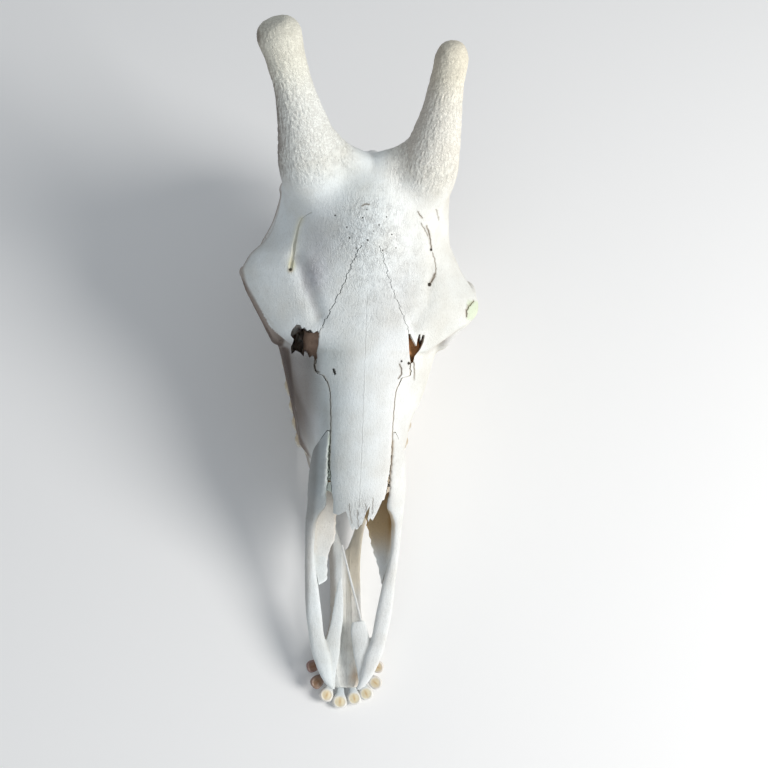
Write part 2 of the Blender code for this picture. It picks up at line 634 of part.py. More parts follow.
def nasal_region(side, grow):
    """The space of one nasal bone, from under its plate to well over it."""
    rings = []
    half_width = dict(NASAL_X)
    wide = curve(NASAL_X)
    for y in NASAL_STATIONS:
        out = half_width.get(y, float(wide(y))) + grow
        inner = SUTURE_GAP / 2 - grow
        ring = [inner + (out - inner) * t for t in (0, 0.4, 0.75, 1)]
        ring = [(x, roof(y) - NASAL_DEPTH - NASAL_CURVE * x * x - grow) for x in ring]
        ring = ring + [(out, NASAL_BLOCK), (inner, NASAL_BLOCK)]
        rings.append([(side * x, y, z) for x, z in ring])
    return loft("nasal_region", rings)


def premaxilla_bar(side, grow):
    out_x, in_x = curve(PREMAX_OUT_X), curve(PREMAX_IN_X)
    out_z, in_z, half = curve(PREMAX_OUT_Z), curve(PREMAX_IN_Z), curve(PREMAX_HALF)
    rings = []
    stations = np.linspace(PREMAX_FROM, PREMAX_TO, int((PREMAX_TO - PREMAX_FROM) / PREMAX_STEP) + 1)
    for i, y in enumerate(stations):
        y_at = y + (grow if i == len(stations) - 1 else -grow if i == 0 else 0)
        a = Vector((in_x(y), in_z(y)))
        b = Vector((out_x(y), out_z(y)))
        middle, reach = (a + b) / 2, (b - a) / 2
        across = reach.normalized()
        up = Vector((-across.y, across.x))
        ring = []
        for j in range(PREMAX_SIDES):
            t = 2 * math.pi * (j + 0.5) / PREMAX_SIDES
            c, s = math.cos(t), math.sin(t)
            c, s = math.copysign(abs(c) ** 0.7, c), math.copysign(abs(s) ** 0.7, s)
            p = middle + across * c * (reach.length + grow) + up * s * (half(y) + grow)
            ring.append((side * p.x, y_at, p.y))
        rings.append(ring)
    return loft("bar", rings)


def cheek_tooth(place, length, width, top, low, cusps_up):
    """One cheek tooth: a tapered block with rounded corners and two crossing ridges."""
    x, lateral, turn = place
    sides = 8
    rings = []
    levels = ((low, ROOT_NARROW), ((low + top) / 2, 0.97), (top, 0.9))
    for level, scale in levels:
        ring = []
        for j in range(sides):
            a = 2 * math.pi * (j + 0.5) / sides
            c, s = math.cos(a), math.sin(a)
            c, s = math.copysign(abs(c) ** 0.6, c), math.copysign(abs(s) ** 0.6, s)
            dx, dl = c * length / 2 * scale, s * width / 2 * scale
            lift = 0.0
            if level == top:
                lift = TOOTH_CUSP * (abs(c) - 1.0) * (1 if cusps_up else -1) * (abs(s) > 0.7)
            along = x + dx * math.cos(turn) - dl * math.sin(turn)
            across = lateral + dx * math.sin(turn) + dl * math.cos(turn)
            y, z = from_palate(along, level + lift)
            ring.append((across, y, z))
        rings.append(ring)
    return loft("tooth", rings)


def tooth_row(side, teeth, start, row, top, low, cusps_up):
    middle = curve(row)
    made = []
    x = start
    for length, width in teeth:
        at = x + length / 2
        turn = math.atan2(middle(at + 5) - middle(at - 5), 10)
        place = (at, side * float(middle(at)), side * turn)
        made.append(cheek_tooth(place, length - TOOTH_SPACE, width, top, low, cusps_up))
        x += length
    return made


def incisor(side, place):
    """A front tooth as a flattened peg that leans forward out of the jaw's edge."""
    across, along, top, width, turn = place
    heading = math.radians(turn) * side
    ahead = Vector((math.sin(heading), -math.cos(heading), 0))
    flat = Vector((math.cos(heading), math.sin(heading), 0))
    rise = Vector((0, 0, 1))
    tip = Vector((side * across, along, top))
    axis = (ahead * math.cos(INCISOR_RISE) + rise * math.sin(INCISOR_RISE)).normalized()
    normal = flat.cross(axis).normalized()
    rings = []
    for t, wide, thick in ((0, 0.62, 0.5), (0.12, 0.95, 0.85), (0.3, 1.0, 1.0), (0.58, 0.72, 0.95),
                           (1.0, 0.5, 0.6)):
        centre = tip - axis * (t * INCISOR_LENGTH - INCISOR_AHEAD)
        ring = []
        for j in range(8):
            a = 2 * math.pi * j / 8
            ring.append(tuple(centre + flat * math.cos(a) * width / 2 * wide
                              + normal * math.sin(a) * INCISOR_THICK / 2 * thick))
        rings.append(ring)
    return loft("incisor", rings)


def jaw_body(side):
    in_x, out_x, top_z, low_z = curve(JAW_IN_X), curve(JAW_OUT_X), curve(JAW_TOP_Z), curve(JAW_LOW_Z)
    rings = []
    for x in np.linspace(JAW_FROM, JAW_TO, int((JAW_TO - JAW_FROM) / JAW_STEP) + 1):
        inner, outer = in_x(x), out_x(x)
        if inner < 1:
            inner = -outer
        middle, wide = (inner + outer) / 2, (outer - inner) / 2
        centre, tall = (top_z(x) + low_z(x)) / 2, (top_z(x) - low_z(x)) / 2
        ring = []
        for j in range(JAW_SIDES):
            a = 2 * math.pi * (j + 0.5) / JAW_SIDES
            c, s = math.cos(a), math.sin(a)
            c, s = math.copysign(abs(c) ** 0.75, c), math.copysign(abs(s) ** 0.75, s)
            y, z = from_palate(x, centre + s * tall)
            ring.append((side * (middle + c * wide), y, z))
        rings.append(ring)
    return loft("jaw_body", rings)


def jaw_tube(name, knots):
    placed = []
    for x, across, z, radius in knots:
        y, up = from_palate(x, z)
        placed.append((across, y, up, radius))
    return tube(name, placed)


def jaw_condyle(side, grow):
    y, z = from_palate(*CONDYLE_AT)
    knots = [(side * x, y, z - drop, radius + grow) for x, drop, radius in JAW_CONDYLE]
    knots[0] = (knots[0][0] - side * grow,) + knots[0][1:]
    knots[-1] = (knots[-1][0] + side * grow,) + knots[-1][1:]
    return tube("condyle", knots)


def jaw(side, voxel, passes):
    outline = [from_palate(*p) for p in RAMUS]
    near, far = sorted((side * RAMUS_X[0], side * RAMUS_X[1]))
    pieces = [jaw_body(side), prism("ramus", outline, "side", near, far), jaw_condyle(side, 0)]
    body = fused("jaw", pieces, voxel, passes)
    combine(body, jaw_tube("trough", TROUGH), "DIFFERENCE")
    edge = SUTURE_GAP / 2
    near, far = sorted((-side * FAR, side * edge))
    half = prism("half", ((-FAR, -FAR), (-FAR, FAR), (FAR, FAR), (FAR, -FAR)), "side", near, far)
    combine(body, half, "DIFFERENCE")
    return largest(body)


def bend(mesh):
    """Turns the tip of the snout a little to the right."""
    for vert in mesh.vertices:
        ahead = max(0.0, (BEND_FROM - vert.co.y / MM) / BEND_FROM)
        vert.co.x += BEND_AT_TIP * MM * ahead**BEND_POWER


def lean(mesh):
    """Bows the front of the lower jaw a little to the right."""
    aside = curve(JAW_LEAN)
    for vert in mesh.vertices:
        vert.co.x += float(aside(vert.co.y / MM)) * MM


def material(name, colour, roughness):
    made = bpy.data.materials.new(name)
    made.use_nodes = True
    shader = made.node_tree.nodes["Principled BSDF"]
    shader.inputs["Base Color"].default_value = (*colour, 1)
    shader.inputs["Roughness"].default_value = roughness
    shader.inputs["Metallic"].default_value = 0.0
    return made


def finish(obj, name, colour, roughness):
    obj.name = name
    obj.data.name = name
    obj.data.materials.clear()
    obj.data.materials.append(material(name + "_bone", colour, roughness))
    obj.data.shade_smooth()
    obj.data.set_sharp_from_angle(angle=math.radians(40))
    return obj


def box_beyond(name, point, knots, grow):
    """A block that starts at the foot of an ossicone and holds all of it."""
    axis = (Vector(knots[4][:3]) - Vector(knots[1][:3])).normalized()
    start = Vector(point) - axis * grow
    across = axis.cross(Vector((0, 0, 1))).normalized()
    up = across.cross(axis)
    ends = []
    for reach in (0.0, OSSICONE_REACH):
        centre = start + axis * reach
        ends.append([tuple(centre + (across * a + up * b) * OSSICONE_BLOCK)
                     for a, b in ((-1, -1), (1, -1), (1, 1), (-1, 1))])
    return loft(name, ends)


def maxilla_region(side, grow):
    outline = [(y + grow, z) for y, z in MAXILLA_EDGE] + [(-FAR, FACE_UNDER), (-FAR, FACE_OVER)]
    if side == 0:
        near, far = -FAR, FAR
    else:
        near, far = sorted((side * SUTURE_GAP / 2, side * FAR))
    return prism("maxilla_region", outline, "side", near, far)


def grown(outline, by):
    """The outline moved outward by a set distance."""
    points = [Vector(p) for p in outline]
    area = sum(points[i - 1].x * points[i].y - points[i].x * points[i - 1].y
               for i in range(len(points)))
    made = []
    for i, here in enumerate(points):
        before, after = points[i - 1], points[(i + 1) % len(points)]
        a, b = (here - before).normalized(), (after - here).normalized()
        normal_a, normal_b = Vector((a.y, -a.x)), Vector((b.y, -b.x))
        middle = (normal_a + normal_b).normalized()
        reach = by / max(0.35, middle.dot(normal_a))
        made.append(tuple(here + middle * reach * (1 if area > 0 else -1)))
    return made


def build():
    for obj in list(bpy.data.objects):
        bpy.data.objects.remove(obj)

    body = thinned(upper_skull(VOXEL, SMOOTH_PASSES), UPPER_TRIANGLES)
    combine(body, cavity(), "DIFFERENCE")
    combine(body, prism("gap", GAP_RIGHT, "top", -GAP_DEPTH, FAR), "DIFFERENCE")
    combine(body, prism("gap", GAP_LEFT, "top", -GAP_DEPTH, FAR), "DIFFERENCE")
    for side in (1, -1):
        combine(body, jaw_condyle(side, GLENOID_GAP), "DIFFERENCE")

    nodes = []
    for side, name, tip in ((1, "nasal_left", TIP_LEFT), (-1, "nasal_right", TIP_RIGHT)):
        bone = copy_of(body, name)
        combine(bone, nasal_region(side, 0), "INTERSECT")
        combine(bone, prism("tip", tip, "top", -NASAL_BLOCK, NASAL_BLOCK), "DIFFERENCE")
        nodes.append(finish(largest(bone), name, BONE_LIGHT, 0.62))
    for side in (1, -1):
        combine(body, nasal_region(side, SUTURE_GAP), "DIFFERENCE")
    for side, name, blade in ((1, "premaxilla_left", BLADE_LEFT),
                              (-1, "premaxilla_right", BLADE_RIGHT)):
        bone = united(premaxilla_bar(side, 0), [tube("blade", blade, 8, BLADE_FLAT)])
        combine(bone, nasal_region(side, SUTURE_GAP), "DIFFERENCE")
        nodes.append(finish(largest(bone), name, BONE_LIGHT, 0.6))
        combine(body, premaxilla_bar(side, SUTURE_GAP), "DIFFERENCE")

    for name, point, knots in (("ossicone_left", OSSICONE_BASE_LEFT, OSSICONE_LEFT),
                               ("ossicone_right", OSSICONE_BASE_RIGHT, OSSICONE_RIGHT)):
        bone = copy_of(body, name)
        combine(bone, box_beyond("beyond", point, knots, 0), "INTERSECT")
        nodes.append(finish(largest(bone), name, BONE_WARM, 0.8))
        combine(body, box_beyond("beyond", point, knots, SUTURE_GAP), "DIFFERENCE")

    for side, name in ((1, "zygomatic_left"), (-1, "zygomatic_right")):
        near, far = sorted((side * ZYGOMATIC_X[0], side * ZYGOMATIC_X[1]))
        bone = copy_of(body, name)
        combine(bone, prism("zygomatic", ZYGOMATIC, "side", near, far), "INTERSECT")
        nodes.append(finish(largest(bone), name, BONE_GREY, 0.65))
        near, far = sorted((side * (ZYGOMATIC_X[0] - SUTURE_GAP), side * ZYGOMATIC_X[1]))
        region = prism("zygomatic", grown(ZYGOMATIC, SUTURE_GAP), "side", near, far)
        combine(body, region, "DIFFERENCE")

    for side, name in ((1, "maxilla_left"), (-1, "maxilla_right")):
        bone = largest(combine(copy_of(body, name), maxilla_region(side, 0), "INTERSECT"))
        teeth = tooth_row(side, UPPER_TEETH, TOOTH_ROW_FROM, UPPER_ROW_X, BITE_Z,
                          BITE_Z + TOOTH_ROOT + UPPER_ROOT_MORE, False)
        united(bone, teeth)
        nodes.append(finish(largest(bone), name, BONE_LIGHT, 0.62))
    combine(body, maxilla_region(0, SUTURE_GAP), "DIFFERENCE")
    nodes.append(finish(largest(body), "cranium", BONE_LIGHT, 0.65))

    for side, name in ((1, "mandible_left"), (-1, "mandible_right")):
        bone = thinned(jaw(side, VOXEL, SMOOTH_PASSES - 2), JAW_TRIANGLES)
        teeth = tooth_row(side, LOWER_TEETH, TOOTH_ROW_FROM - LOWER_ROW_AHEAD, LOWER_ROW_X,
                          BITE_Z - BITE_GAP, BITE_Z - BITE_GAP - TOOTH_ROOT - LOWER_ROOT_MORE, True)
        teeth += [incisor(side, place) for place in (INCISORS_LEFT if side > 0 else INCISORS_RIGHT)]
        united(bone, teeth)
        nodes.append(finish(largest(bone), name, BONE_LIGHT, 0.6))

    pose = Matrix.Rotation(REST_RISE, 4, "X")
    jaws = [obj for obj in nodes if obj.name.startswith("mandible")]
    for obj in nodes:
        if obj in jaws:
            lean(obj.data)
        else:
            bend(obj.data)
        obj.data.transform(pose)
    chin = from_palate(*CHIN_BASE)
    floor = (pose @ Vector((0, chin[0] * MM, chin[1] * MM))).z + FLAT_DEPTH * MM
    low, high = np.full(3, 1e9), np.full(3, -1e9)
    for obj in nodes:
        points = np.array([vert.co for vert in obj.data.vertices])
        low, high = np.minimum(low, points.min(axis=0)), np.maximum(high, points.max(axis=0))
    shift = Matrix.Translation((-(low[0] + high[0]) / 2, -(low[1] + high[1]) / 2, -floor))
    for obj in nodes:
        obj.data.transform(shift)
    frame = bpy.data.objects.new("face_frame", None)
    frame.matrix_world = shift @ pose
    bpy.context.scene.collection.objects.link(frame)
    for obj in jaws:
        under = prism("under", ((-FAR, -FAR), (FAR, -FAR), (FAR, FAR), (-FAR, FAR)), "top", -FAR, 0)
        combine(obj, under, "DIFFERENCE")
        largest(obj)
    return nodes


build()
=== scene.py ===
"""Scene of a giraffe skull with its lower jaw closed, lying on a pale floor.

The bones are made as the solid part is, in millimetres in the frame of the face, but finer:
x runs to the skull's left, y runs back from the tips of the premaxillae along the flat of the
nasal bones, and z rises from that flat. Each finished bone is turned and moved to its rest.
"""

import math

import bmesh
import bpy
import numpy as np
from mathutils import Matrix, Vector


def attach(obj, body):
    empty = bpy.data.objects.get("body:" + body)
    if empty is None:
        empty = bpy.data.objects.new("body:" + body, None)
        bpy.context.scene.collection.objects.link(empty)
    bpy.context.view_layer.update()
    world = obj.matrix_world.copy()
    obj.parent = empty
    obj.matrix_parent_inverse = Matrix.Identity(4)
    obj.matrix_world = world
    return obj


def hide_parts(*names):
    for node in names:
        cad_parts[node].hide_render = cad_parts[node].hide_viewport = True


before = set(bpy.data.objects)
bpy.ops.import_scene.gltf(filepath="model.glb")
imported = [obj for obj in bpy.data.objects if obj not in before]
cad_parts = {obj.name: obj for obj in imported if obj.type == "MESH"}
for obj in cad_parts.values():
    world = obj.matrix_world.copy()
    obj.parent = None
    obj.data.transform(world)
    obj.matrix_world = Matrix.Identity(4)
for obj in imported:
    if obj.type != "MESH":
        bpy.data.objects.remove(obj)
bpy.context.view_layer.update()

MM = 0.001
SUTURE_GAP = 0.3
FAR = 900.0

# Grain of the skin that the pieces of each bone melt into, and how often it is smoothed.
VOXEL, SMOOTH_PASSES = 1.6, 13
JAW_VOXEL, JAW_PASSES = 1.4, 12
BAR_VOXEL, BAR_PASSES = 0.95, 3

# The palate's line under the face, and the two points of the jaw's base that bear on the floor.
PALATE_SLOPE = math.radians(21.0)
PALATE_DROP = 20.0
CHIN_BASE = (80.0, -42.0)
ANGLE_BASE = (452.0, -88.0)
REST_RISE = PALATE_SLOPE + math.atan2(CHIN_BASE[1] - ANGLE_BASE[1], ANGLE_BASE[0] - CHIN_BASE[0])
REST_SHIFT = (0.002403, -0.285054, 0.048216)

# The snout bends a little to the skull's right in front of this station.
BEND_FROM = 240.0
BEND_AT_TIP = -5.5
BEND_POWER = 1.4
JAW_LEAN = ((-30, -3), (75, -4.5), (110, -5.2), (140, -4.8), (190, -2.5), (240, 0))

# Midline of the roof, then half-sections of the core: shoulder, side, tooth margin and base.
ROOF = (
    (150, -5), (168, -2.5), (188, -1.5), (230, 0), (300, 0), (350, 1), (385, 3), (405, 6),
    (420, 11), (438, 18), (455, 20), (475, 17), (494, 10), (505, 5), (512, -2), (519, -40),
    (527, -98), (541, -162))
SHOULDER_X = (
    (188, 26), (220, 29.5), (284, 32), (296, 38), (306, 46), (325, 50), (345, 56), (400, 62),
    (430, 64), (470, 62), (505, 55), (520, 46), (533, 40), (541, 28))
SHOULDER_Z = (
    (188, -9), (284, -10), (306, -16), (345, -22), (400, -18), (430, -12), (470, -8), (505, -14),
    (518, -44), (530, -112), (541, -166))
SIDE_X = (
    (188, 42), (220, 46), (250, 52), (284, 66), (305, 72), (325, 78), (334, 84), (340, 80),
    (348, 60), (360, 46), (390, 42), (430, 50), (460, 54), (500, 56), (528, 54), (541, 36))
SIDE_Z = (
    (188, -42), (250, -58), (284, -60), (330, -66), (350, -75), (390, -80), (430, -92),
    (460, -100), (500, -112), (541, -174))
MARGIN_X = (
    (188, 41), (205, 43), (216, 46), (228, 56), (250, 61), (284, 68), (305, 73), (335, 79),
    (352, 76), (362, 56), (372, 36), (390, 26), (430, 34), (460, 44), (500, 50), (528, 50),
    (541, 34))
MARGIN_Z = (
    (188, -91), (214, -103), (228, -111), (250, -121), (284, -134), (305, -142), (335, -154),
    (355, -158), (372, -147), (390, -147), (430, -155), (460, -167), (500, -188), (528, -203),
    (541, -200))
GUM_X = (
    (188, 28), (220, 36), (284, 44), (335, 52), (352, 50), (365, 30), (390, 14), (430, 16),
    (500, 24), (541, 18))
BASE_Z = (
    (188, -89), (220, -100), (284, -125), (335, -144), (360, -147), (390, -149), (430, -159),
    (500, -200), (541, -208))
CORE_FROM, CORE_TO, CORE_STEP = 188.0, 541.0, 4.0
CROWN_X, CROWN_FALL = 0.55, 0.28

# The frontal shelf over the orbits: half-width of its rim, the rim's height and thickness.
SHELF_X_LEFT = (
    (326, 66), (336, 80), (348, 94), (358, 109), (367, 116), (376, 117), (387, 113), (397, 107),
    (406, 100), (417, 94), (428, 88), (441, 85), (461, 84), (480, 84), (500, 80), (512, 66),
    (521, 44))
SHELF_X_RIGHT = (
    (326, 66), (336, 80), (352, 91), (365, 102), (378, 111), (390, 118), (402, 121), (410, 117),
    (417, 113), (426, 104), (436, 95), (446, 91), (461, 87), (480, 86), (500, 80), (512, 66),
    (521, 44))
SHELF_Z = (
    (326, -34), (352, -36), (378, -42), (402, -50), (422, -50), (441, -44), (461, -38), (480, -36),
    (500, -40), (521, -60))
SHELF_RIM = 10.0
SHELF_UNDER = 16.0
SHELF_FROM, SHELF_TO = 326.0, 521.0

# Ossicones: points of the axis with the radius there, from inside the frontal to the tip.
OSSICONE_RIGHT = (
    (-45, 468, -36, 25), (-56, 494, -9, 32), (-66, 526, 29, 26), (-74, 548, 49, 20.5),
    (-81, 567, 63, 18.2), (-88, 585, 77, 18.6), (-94, 600, 90, 20.8), (-96.5, 605.5, 94.5, 19),
    (-98, 609, 97.5, 15), (-99, 611, 99, 9))
OSSICONE_LEFT = (
    (43, 468, -36, 25), (53, 494, -9, 31), (57.5, 527, 28, 24), (60, 555, 50, 18.5),
    (60.5, 575, 69, 16.2), (61.2, 588, 82, 16), (61.5, 595, 88.5, 14.2), (62, 600, 93, 10),
    (62, 602.5, 95, 5))
OSSICONE_BASE_RIGHT = (-64, 514, 20)
OSSICONE_BASE_LEFT = (56.5, 514, 18)
OSSICONE_REACH = 200.0
OSSICONE_BLOCK = 50.0
HORN_SIDES = 36
SADDLE = ((0, 499.5, -5, 14.3), (30, 508, 4, 16), (56, 526, 24, 17))

# Orbit: the ring of its rim, with the tube's radius, and the socket behind it.
RIM_LEFT = (
    (82, 337, -48, 7), (93, 350, -43, 6.5), (108, 365, -46, 6), (110, 381, -56, 6.5),
    (111, 392, -76, 7), (110, 395, -101, 7), (107, 382, -113, 6.5), (97, 363, -113, 6.5),
    (87, 345, -100, 7), (83, 336, -72, 7))
RIM_RIGHT = (
    (-82, 337, -48, 7), (-92, 354, -43, 6.5), (-109, 379, -48, 6), (-115, 396, -58, 6.5),
    (-116, 401, -78, 7), (-113, 399, -102, 7), (-108, 384, -113, 6.5), (-97, 363, -113, 6.5),
    (-87, 345, -100, 7), (-83, 336, -72, 7))
SOCKET_CENTRE = (92, 374, -79)
SOCKET_SIZE = (46, 27, 27)
SOCKET_TURN = math.radians(-28.0)
SOCKET_SIDES = 30, 60

# Zygomatic arch as a flat strap from the cheek to the jaw joint.
ARCH = (
    (88, 350, -114, 6), (104, 378, -118, 6), (106, 402, -119, 6), (98, 428, -124, 5.5),
    (85, 455, -131, 5.5), (79, 476, -138, 5.5), (74, 498, -142, 6))
ARCH_DEPTH = 1.6

# Parts of the braincase and occiput, each with its place and radii.
JOINT_SHELF = (64, 493, -141), (20, 15, 13)
OCCIPITAL_CONDYLE = (20, 533, -198), (14, 15, 18)
BULLA = (31, 500, -198), (11, 20, 14)
CREST = (
    (52, 516, -104, 7), (28, 518.5, -95, 7), (0, 519, -92, 7), (-28, 518.5, -95, 7),
    (-52, 516, -104, 7))
MASTOID = ((52, 515, -102, 8), (60, 514, -138, 10), (52, 518, -178, 11))
JUGULAR_PROCESS = ((46, 520, -182, 10), (47, 524, -208, 8), (45, 527, -230, 5))
BASILAR = ((0, 415, -152, 12), (0, 470, -176, 15), (0, 535, -204, 16))
FORAMEN_MAGNUM = (0, 541, -184), (15, 26, 15)
PTERYGOID = ((345, -146), (432, -156), (430, -184), (405, -184), (385, -172), (345, -158))
PTERYGOID_X = (19.0, 25.0)

# Fore part of the maxilla: a low side wall with a shelf of palate turned in from its foot.
FORE_WALL_X = ((90, 38), (120, 43.5), (150, 46), (185, 47), (202, 46.5))
FORE_WALL_TOP = ((90, -54), (120, -55), (150, -50), (185, -40), (202, -36))
FORE_SHELF_X_LEFT = ((90, 32), (110, 27), (130, 20), (150, 15), (170, 10), (186, 4), (194, -2))
FORE_SHELF_X_RIGHT = (
    (90, 31), (93, 25), (98, 22), (115, 22.5), (125, 20), (135, 15.5), (156, 15), (170, 10),
    (186, 4), (194, -2))
FORE_WALL_THICK = 6.0
FORE_SHELF_THICK = 6.0
FORE_FROM, FORE_TO = 90.0, 202.0
BEAK_X = ((148, 25), (170, 25), (200, 27), (212, 27))
BEAK_DROP = 8.0
BEAK_THICK = 5.5
BEAK_FROM, BEAK_TO = 148.0, 212.0

# Nasal cavity inside the snout.
CAVITY_TOP_X = ((176, 21), (250, 24), (284, 27), (305, 41), (330, 56), (345, 52), (354, 30))
CAVITY_TOP_Z = ((176, -13), (284, -15), (305, -22), (330, -27), (354, -32))
CAVITY_SIDE_X = (
    (176, 36), (220, 40), (250, 46), (284, 58), (305, 65), (330, 70), (345, 62), (354, 40))
CAVITY_SIDE_Z = ((176, -48), (284, -62), (354, -72))
CAVITY_FLOOR_X = ((176, 26), (250, 33), (284, 36), (335, 40), (354, 32))
CAVITY_FLOOR_Z = ((176, -76), (220, -92), (284, -117), (335, -135), (354, -124))
CAVITY_ROOF = 5.5
CAVITY_FROM, CAVITY_TO = 176.0, 354.0

# Depth to which the two gaps at the root of the snout are cut.
GAP_DEPTH = 75.0

# Plan of the nasal bones: half-width along their length, then the curve of their underside.
NASAL_X = (
    (140, 26), (182, 26), (200, 27.5), (221, 29.5), (245, 29.7), (284, 31.5), (293, 34), (300, 38),
    (303, 46), (335, 45), (345, 42), (365, 33), (390, 22), (415, 13), (425, 8))
NASAL_DEPTH = 7.5
NASAL_CURVE = 0.0105
NASAL_BLOCK = 60.0

# Premaxilla: outer and inner edge, the height of each, and the thickness of the bar.
PREMAX_OUT_X = (
    (-8, 14.5), (-3, 20), (5.5, 26), (15.5, 31), (26.5, 35.4), (45, 39.4), (64, 42.8), (86, 45),
    (125, 47), (150, 47.5), (185, 47.5), (205, 47), (225, 44.5), (240, 37), (247, 33))
PREMAX_IN_X = (
    (-8, 10), (0, 12.5), (9, 14.5), (24, 17), (39, 22.6), (63, 26.6), (90, 31.5), (97, 33),
    (113, 36), (130, 38), (151, 38.2), (164, 34.8), (170, 31.4), (181, 29.2), (200, 28.7),
    (219, 29), (247, 30.2))
PREMAX_OUT_Z = (
    (-8, -29), (3, -30), (60, -43), (100, -50), (150, -48), (186, -37), (205, -36), (225, -34),
    (240, -22), (247, -14))
PREMAX_IN_Z = (
    (-8, -29), (3, -30), (60, -43), (100, -50), (150, -43), (186, -17), (200, -12), (247, -11))
PREMAX_HALF = (
    (-8, 1.8), (-3, 4), (8, 5), (30, 5.5), (60, 5.5), (150, 5), (200, 4), (235, 3.2), (247, 1.6))
PREMAX_FROM, PREMAX_TO = -8.0, 247.0
BAR_SIDES, BAR_STATIONS = 28, 240
BLADE_RIGHT = (
    (-13, -6, -30, 3.5), (-16.5, 10, -33, 7), (-15.5, 28, -36, 8.5), (-13.8, 42, -39, 7.2),
    (-11.5, 60, -42, 6.2), (-10.5, 80, -46, 4.6), (-10, 100, -51, 1.5))
BLADE_LEFT = (
    (16, -6, -30, 3.2), (17, 10, -33, 7), (15, 28, -37, 9.5), (11.5, 45, -42, 9.2),
    (9.5, 57, -43, 6.5))
BLADE_FLAT = 0.32

FACE_UNDER, FACE_OVER = -260.0, 60.0

# Bones parted by sutures, drawn from the side: back edge of the maxilla, and the zygomatic.
MAXILLA_EDGE = (
    (318, FACE_OVER), (318, -20), (335, -48), (338, -86), (331, -120), (352, -140), (371, -152),
    (371, FACE_UNDER))
ZYGOMATIC = (
    (333, -92), (348, -87), (390, -99), (412, -96), (426, -112), (440, -121), (432, -142),
    (352, -136), (332, -118))
ZYGOMATIC_X = (60.0, 150.0)

# Cheek teeth from front to back: length and width of each, in the frame of the palate.
UPPER_TEETH = ((18, 21), (19, 23), (18, 24), (26, 26), (28, 27), (28, 25))
LOWER_TEETH = ((17, 12), (20, 14), (20, 16), (24, 18), (27, 19), (33, 18))
TOOTH_ROW_FROM = 243.0
UPPER_ROW_X = ((241, 48), (280, 53.5), (320, 60), (388, 66))
LOWER_ROW_X = ((236, 41), (280, 45), (320, 49), (395, 58))
BITE_Z = -15.0
BITE_GAP = 0.8
TOOTH_ROOT = 16.0
UPPER_ROOT_MORE, LOWER_ROOT_MORE = 5.0, 4.0
ROOT_NARROW = 0.7
LOWER_ROW_AHEAD = 4.0
TOOTH_SPACE = 0.5

# Lower jaw in the frame of the palate: inner and outer face, upper and lower edge.
JAW_IN_X = (
    (-1, 0), (134, 0), (138, 0.8), (142, 2.4), (148, 4.8), (159, 8.8), (175, 13.2), (200, 20),
    (240, 35), (300, 41), (360, 48), (400, 55), (440, 60))
JAW_OUT_X = (
    (-1, 13), (4, 20), (10, 25.5), (20, 30), (28, 30.5), (40, 26), (60, 18), (85, 16), (110, 16),
    (135, 16.8), (162, 20), (200, 31), (240, 43), (262, 50), (300, 56), (360, 65), (400, 70),
    (440, 71))
JAW_TOP_Z = (
    (-1, -19.5), (20, -17), (60, -15.5), (135, -16), (200, -17), (232, -21), (260, -23),
    (400, -24), (440, -25))
JAW_LOW_Z = (
    (-1, -29), (10, -33), (40, -38), (70, -41.5), (92, -42), (135, -40), (190, -42), (240, -54),
    (300, -66), (360, -75), (400, -81), (440, -88))
JAW_FROM, JAW_TO, JAW_STEP = -1.0, 440.0, 7.0
JAW_SIDES = 14
JAW_ROUGH, BAR_ROUGH = 0.10, 0.12
JAW_SEAM = 0.12
TROUGH = ((-20, 0, -11, 11), (20, 0, -10, 13), (60, 0, -11, 8), (140, 0, -12, 6))
RAMUS = (
    (392, -32), (405, -21), (416, -2), (426, 26), (439, 60), (454, 86), (468, 98), (479, 101),
    (486, 96), (483, 82), (480, 66), (484, 53), (495, 47), (508, 47), (514, 40), (511, 26),
    (503, 6), (499, -20), (497, -45), (490, -66), (478, -80), (462, -87), (440, -90), (418, -86),
    (392, -80))
RAMUS_X = (60.0, 69.0)
JAW_CONDYLE = ((48, 4, 6), (56, 0, 8), (68, 0, 8), (78, 3, 6))
CONDYLE_AT = (505.0, 44.0)
GLENOID_GAP = 0.5

# Incisors and canine: each crown's place across, along and up, then its width and turn.
INCISORS_LEFT = (
    (6.8, -17.6, -38, 13.5, 8), (18.4, -13, -38.4, 13.5, 24), (27.2, -2.5, -39, 12.5, 50),
    (28.8, 12.5, -41.5, 12, 72))
INCISORS_RIGHT = (
    (7.2, -21, -38, 14.5, 6), (20.2, -14.6, -38.4, 13.5, 24), (29.6, -2.4, -39, 12.5, 50),
    (33.8, 12.5, -41.5, 12, 72))
INCISOR_LENGTH = 28.0
INCISOR_AHEAD = 7.5
INCISOR_RISE = math.radians(25.0)
INCISOR_THICK = 7.6

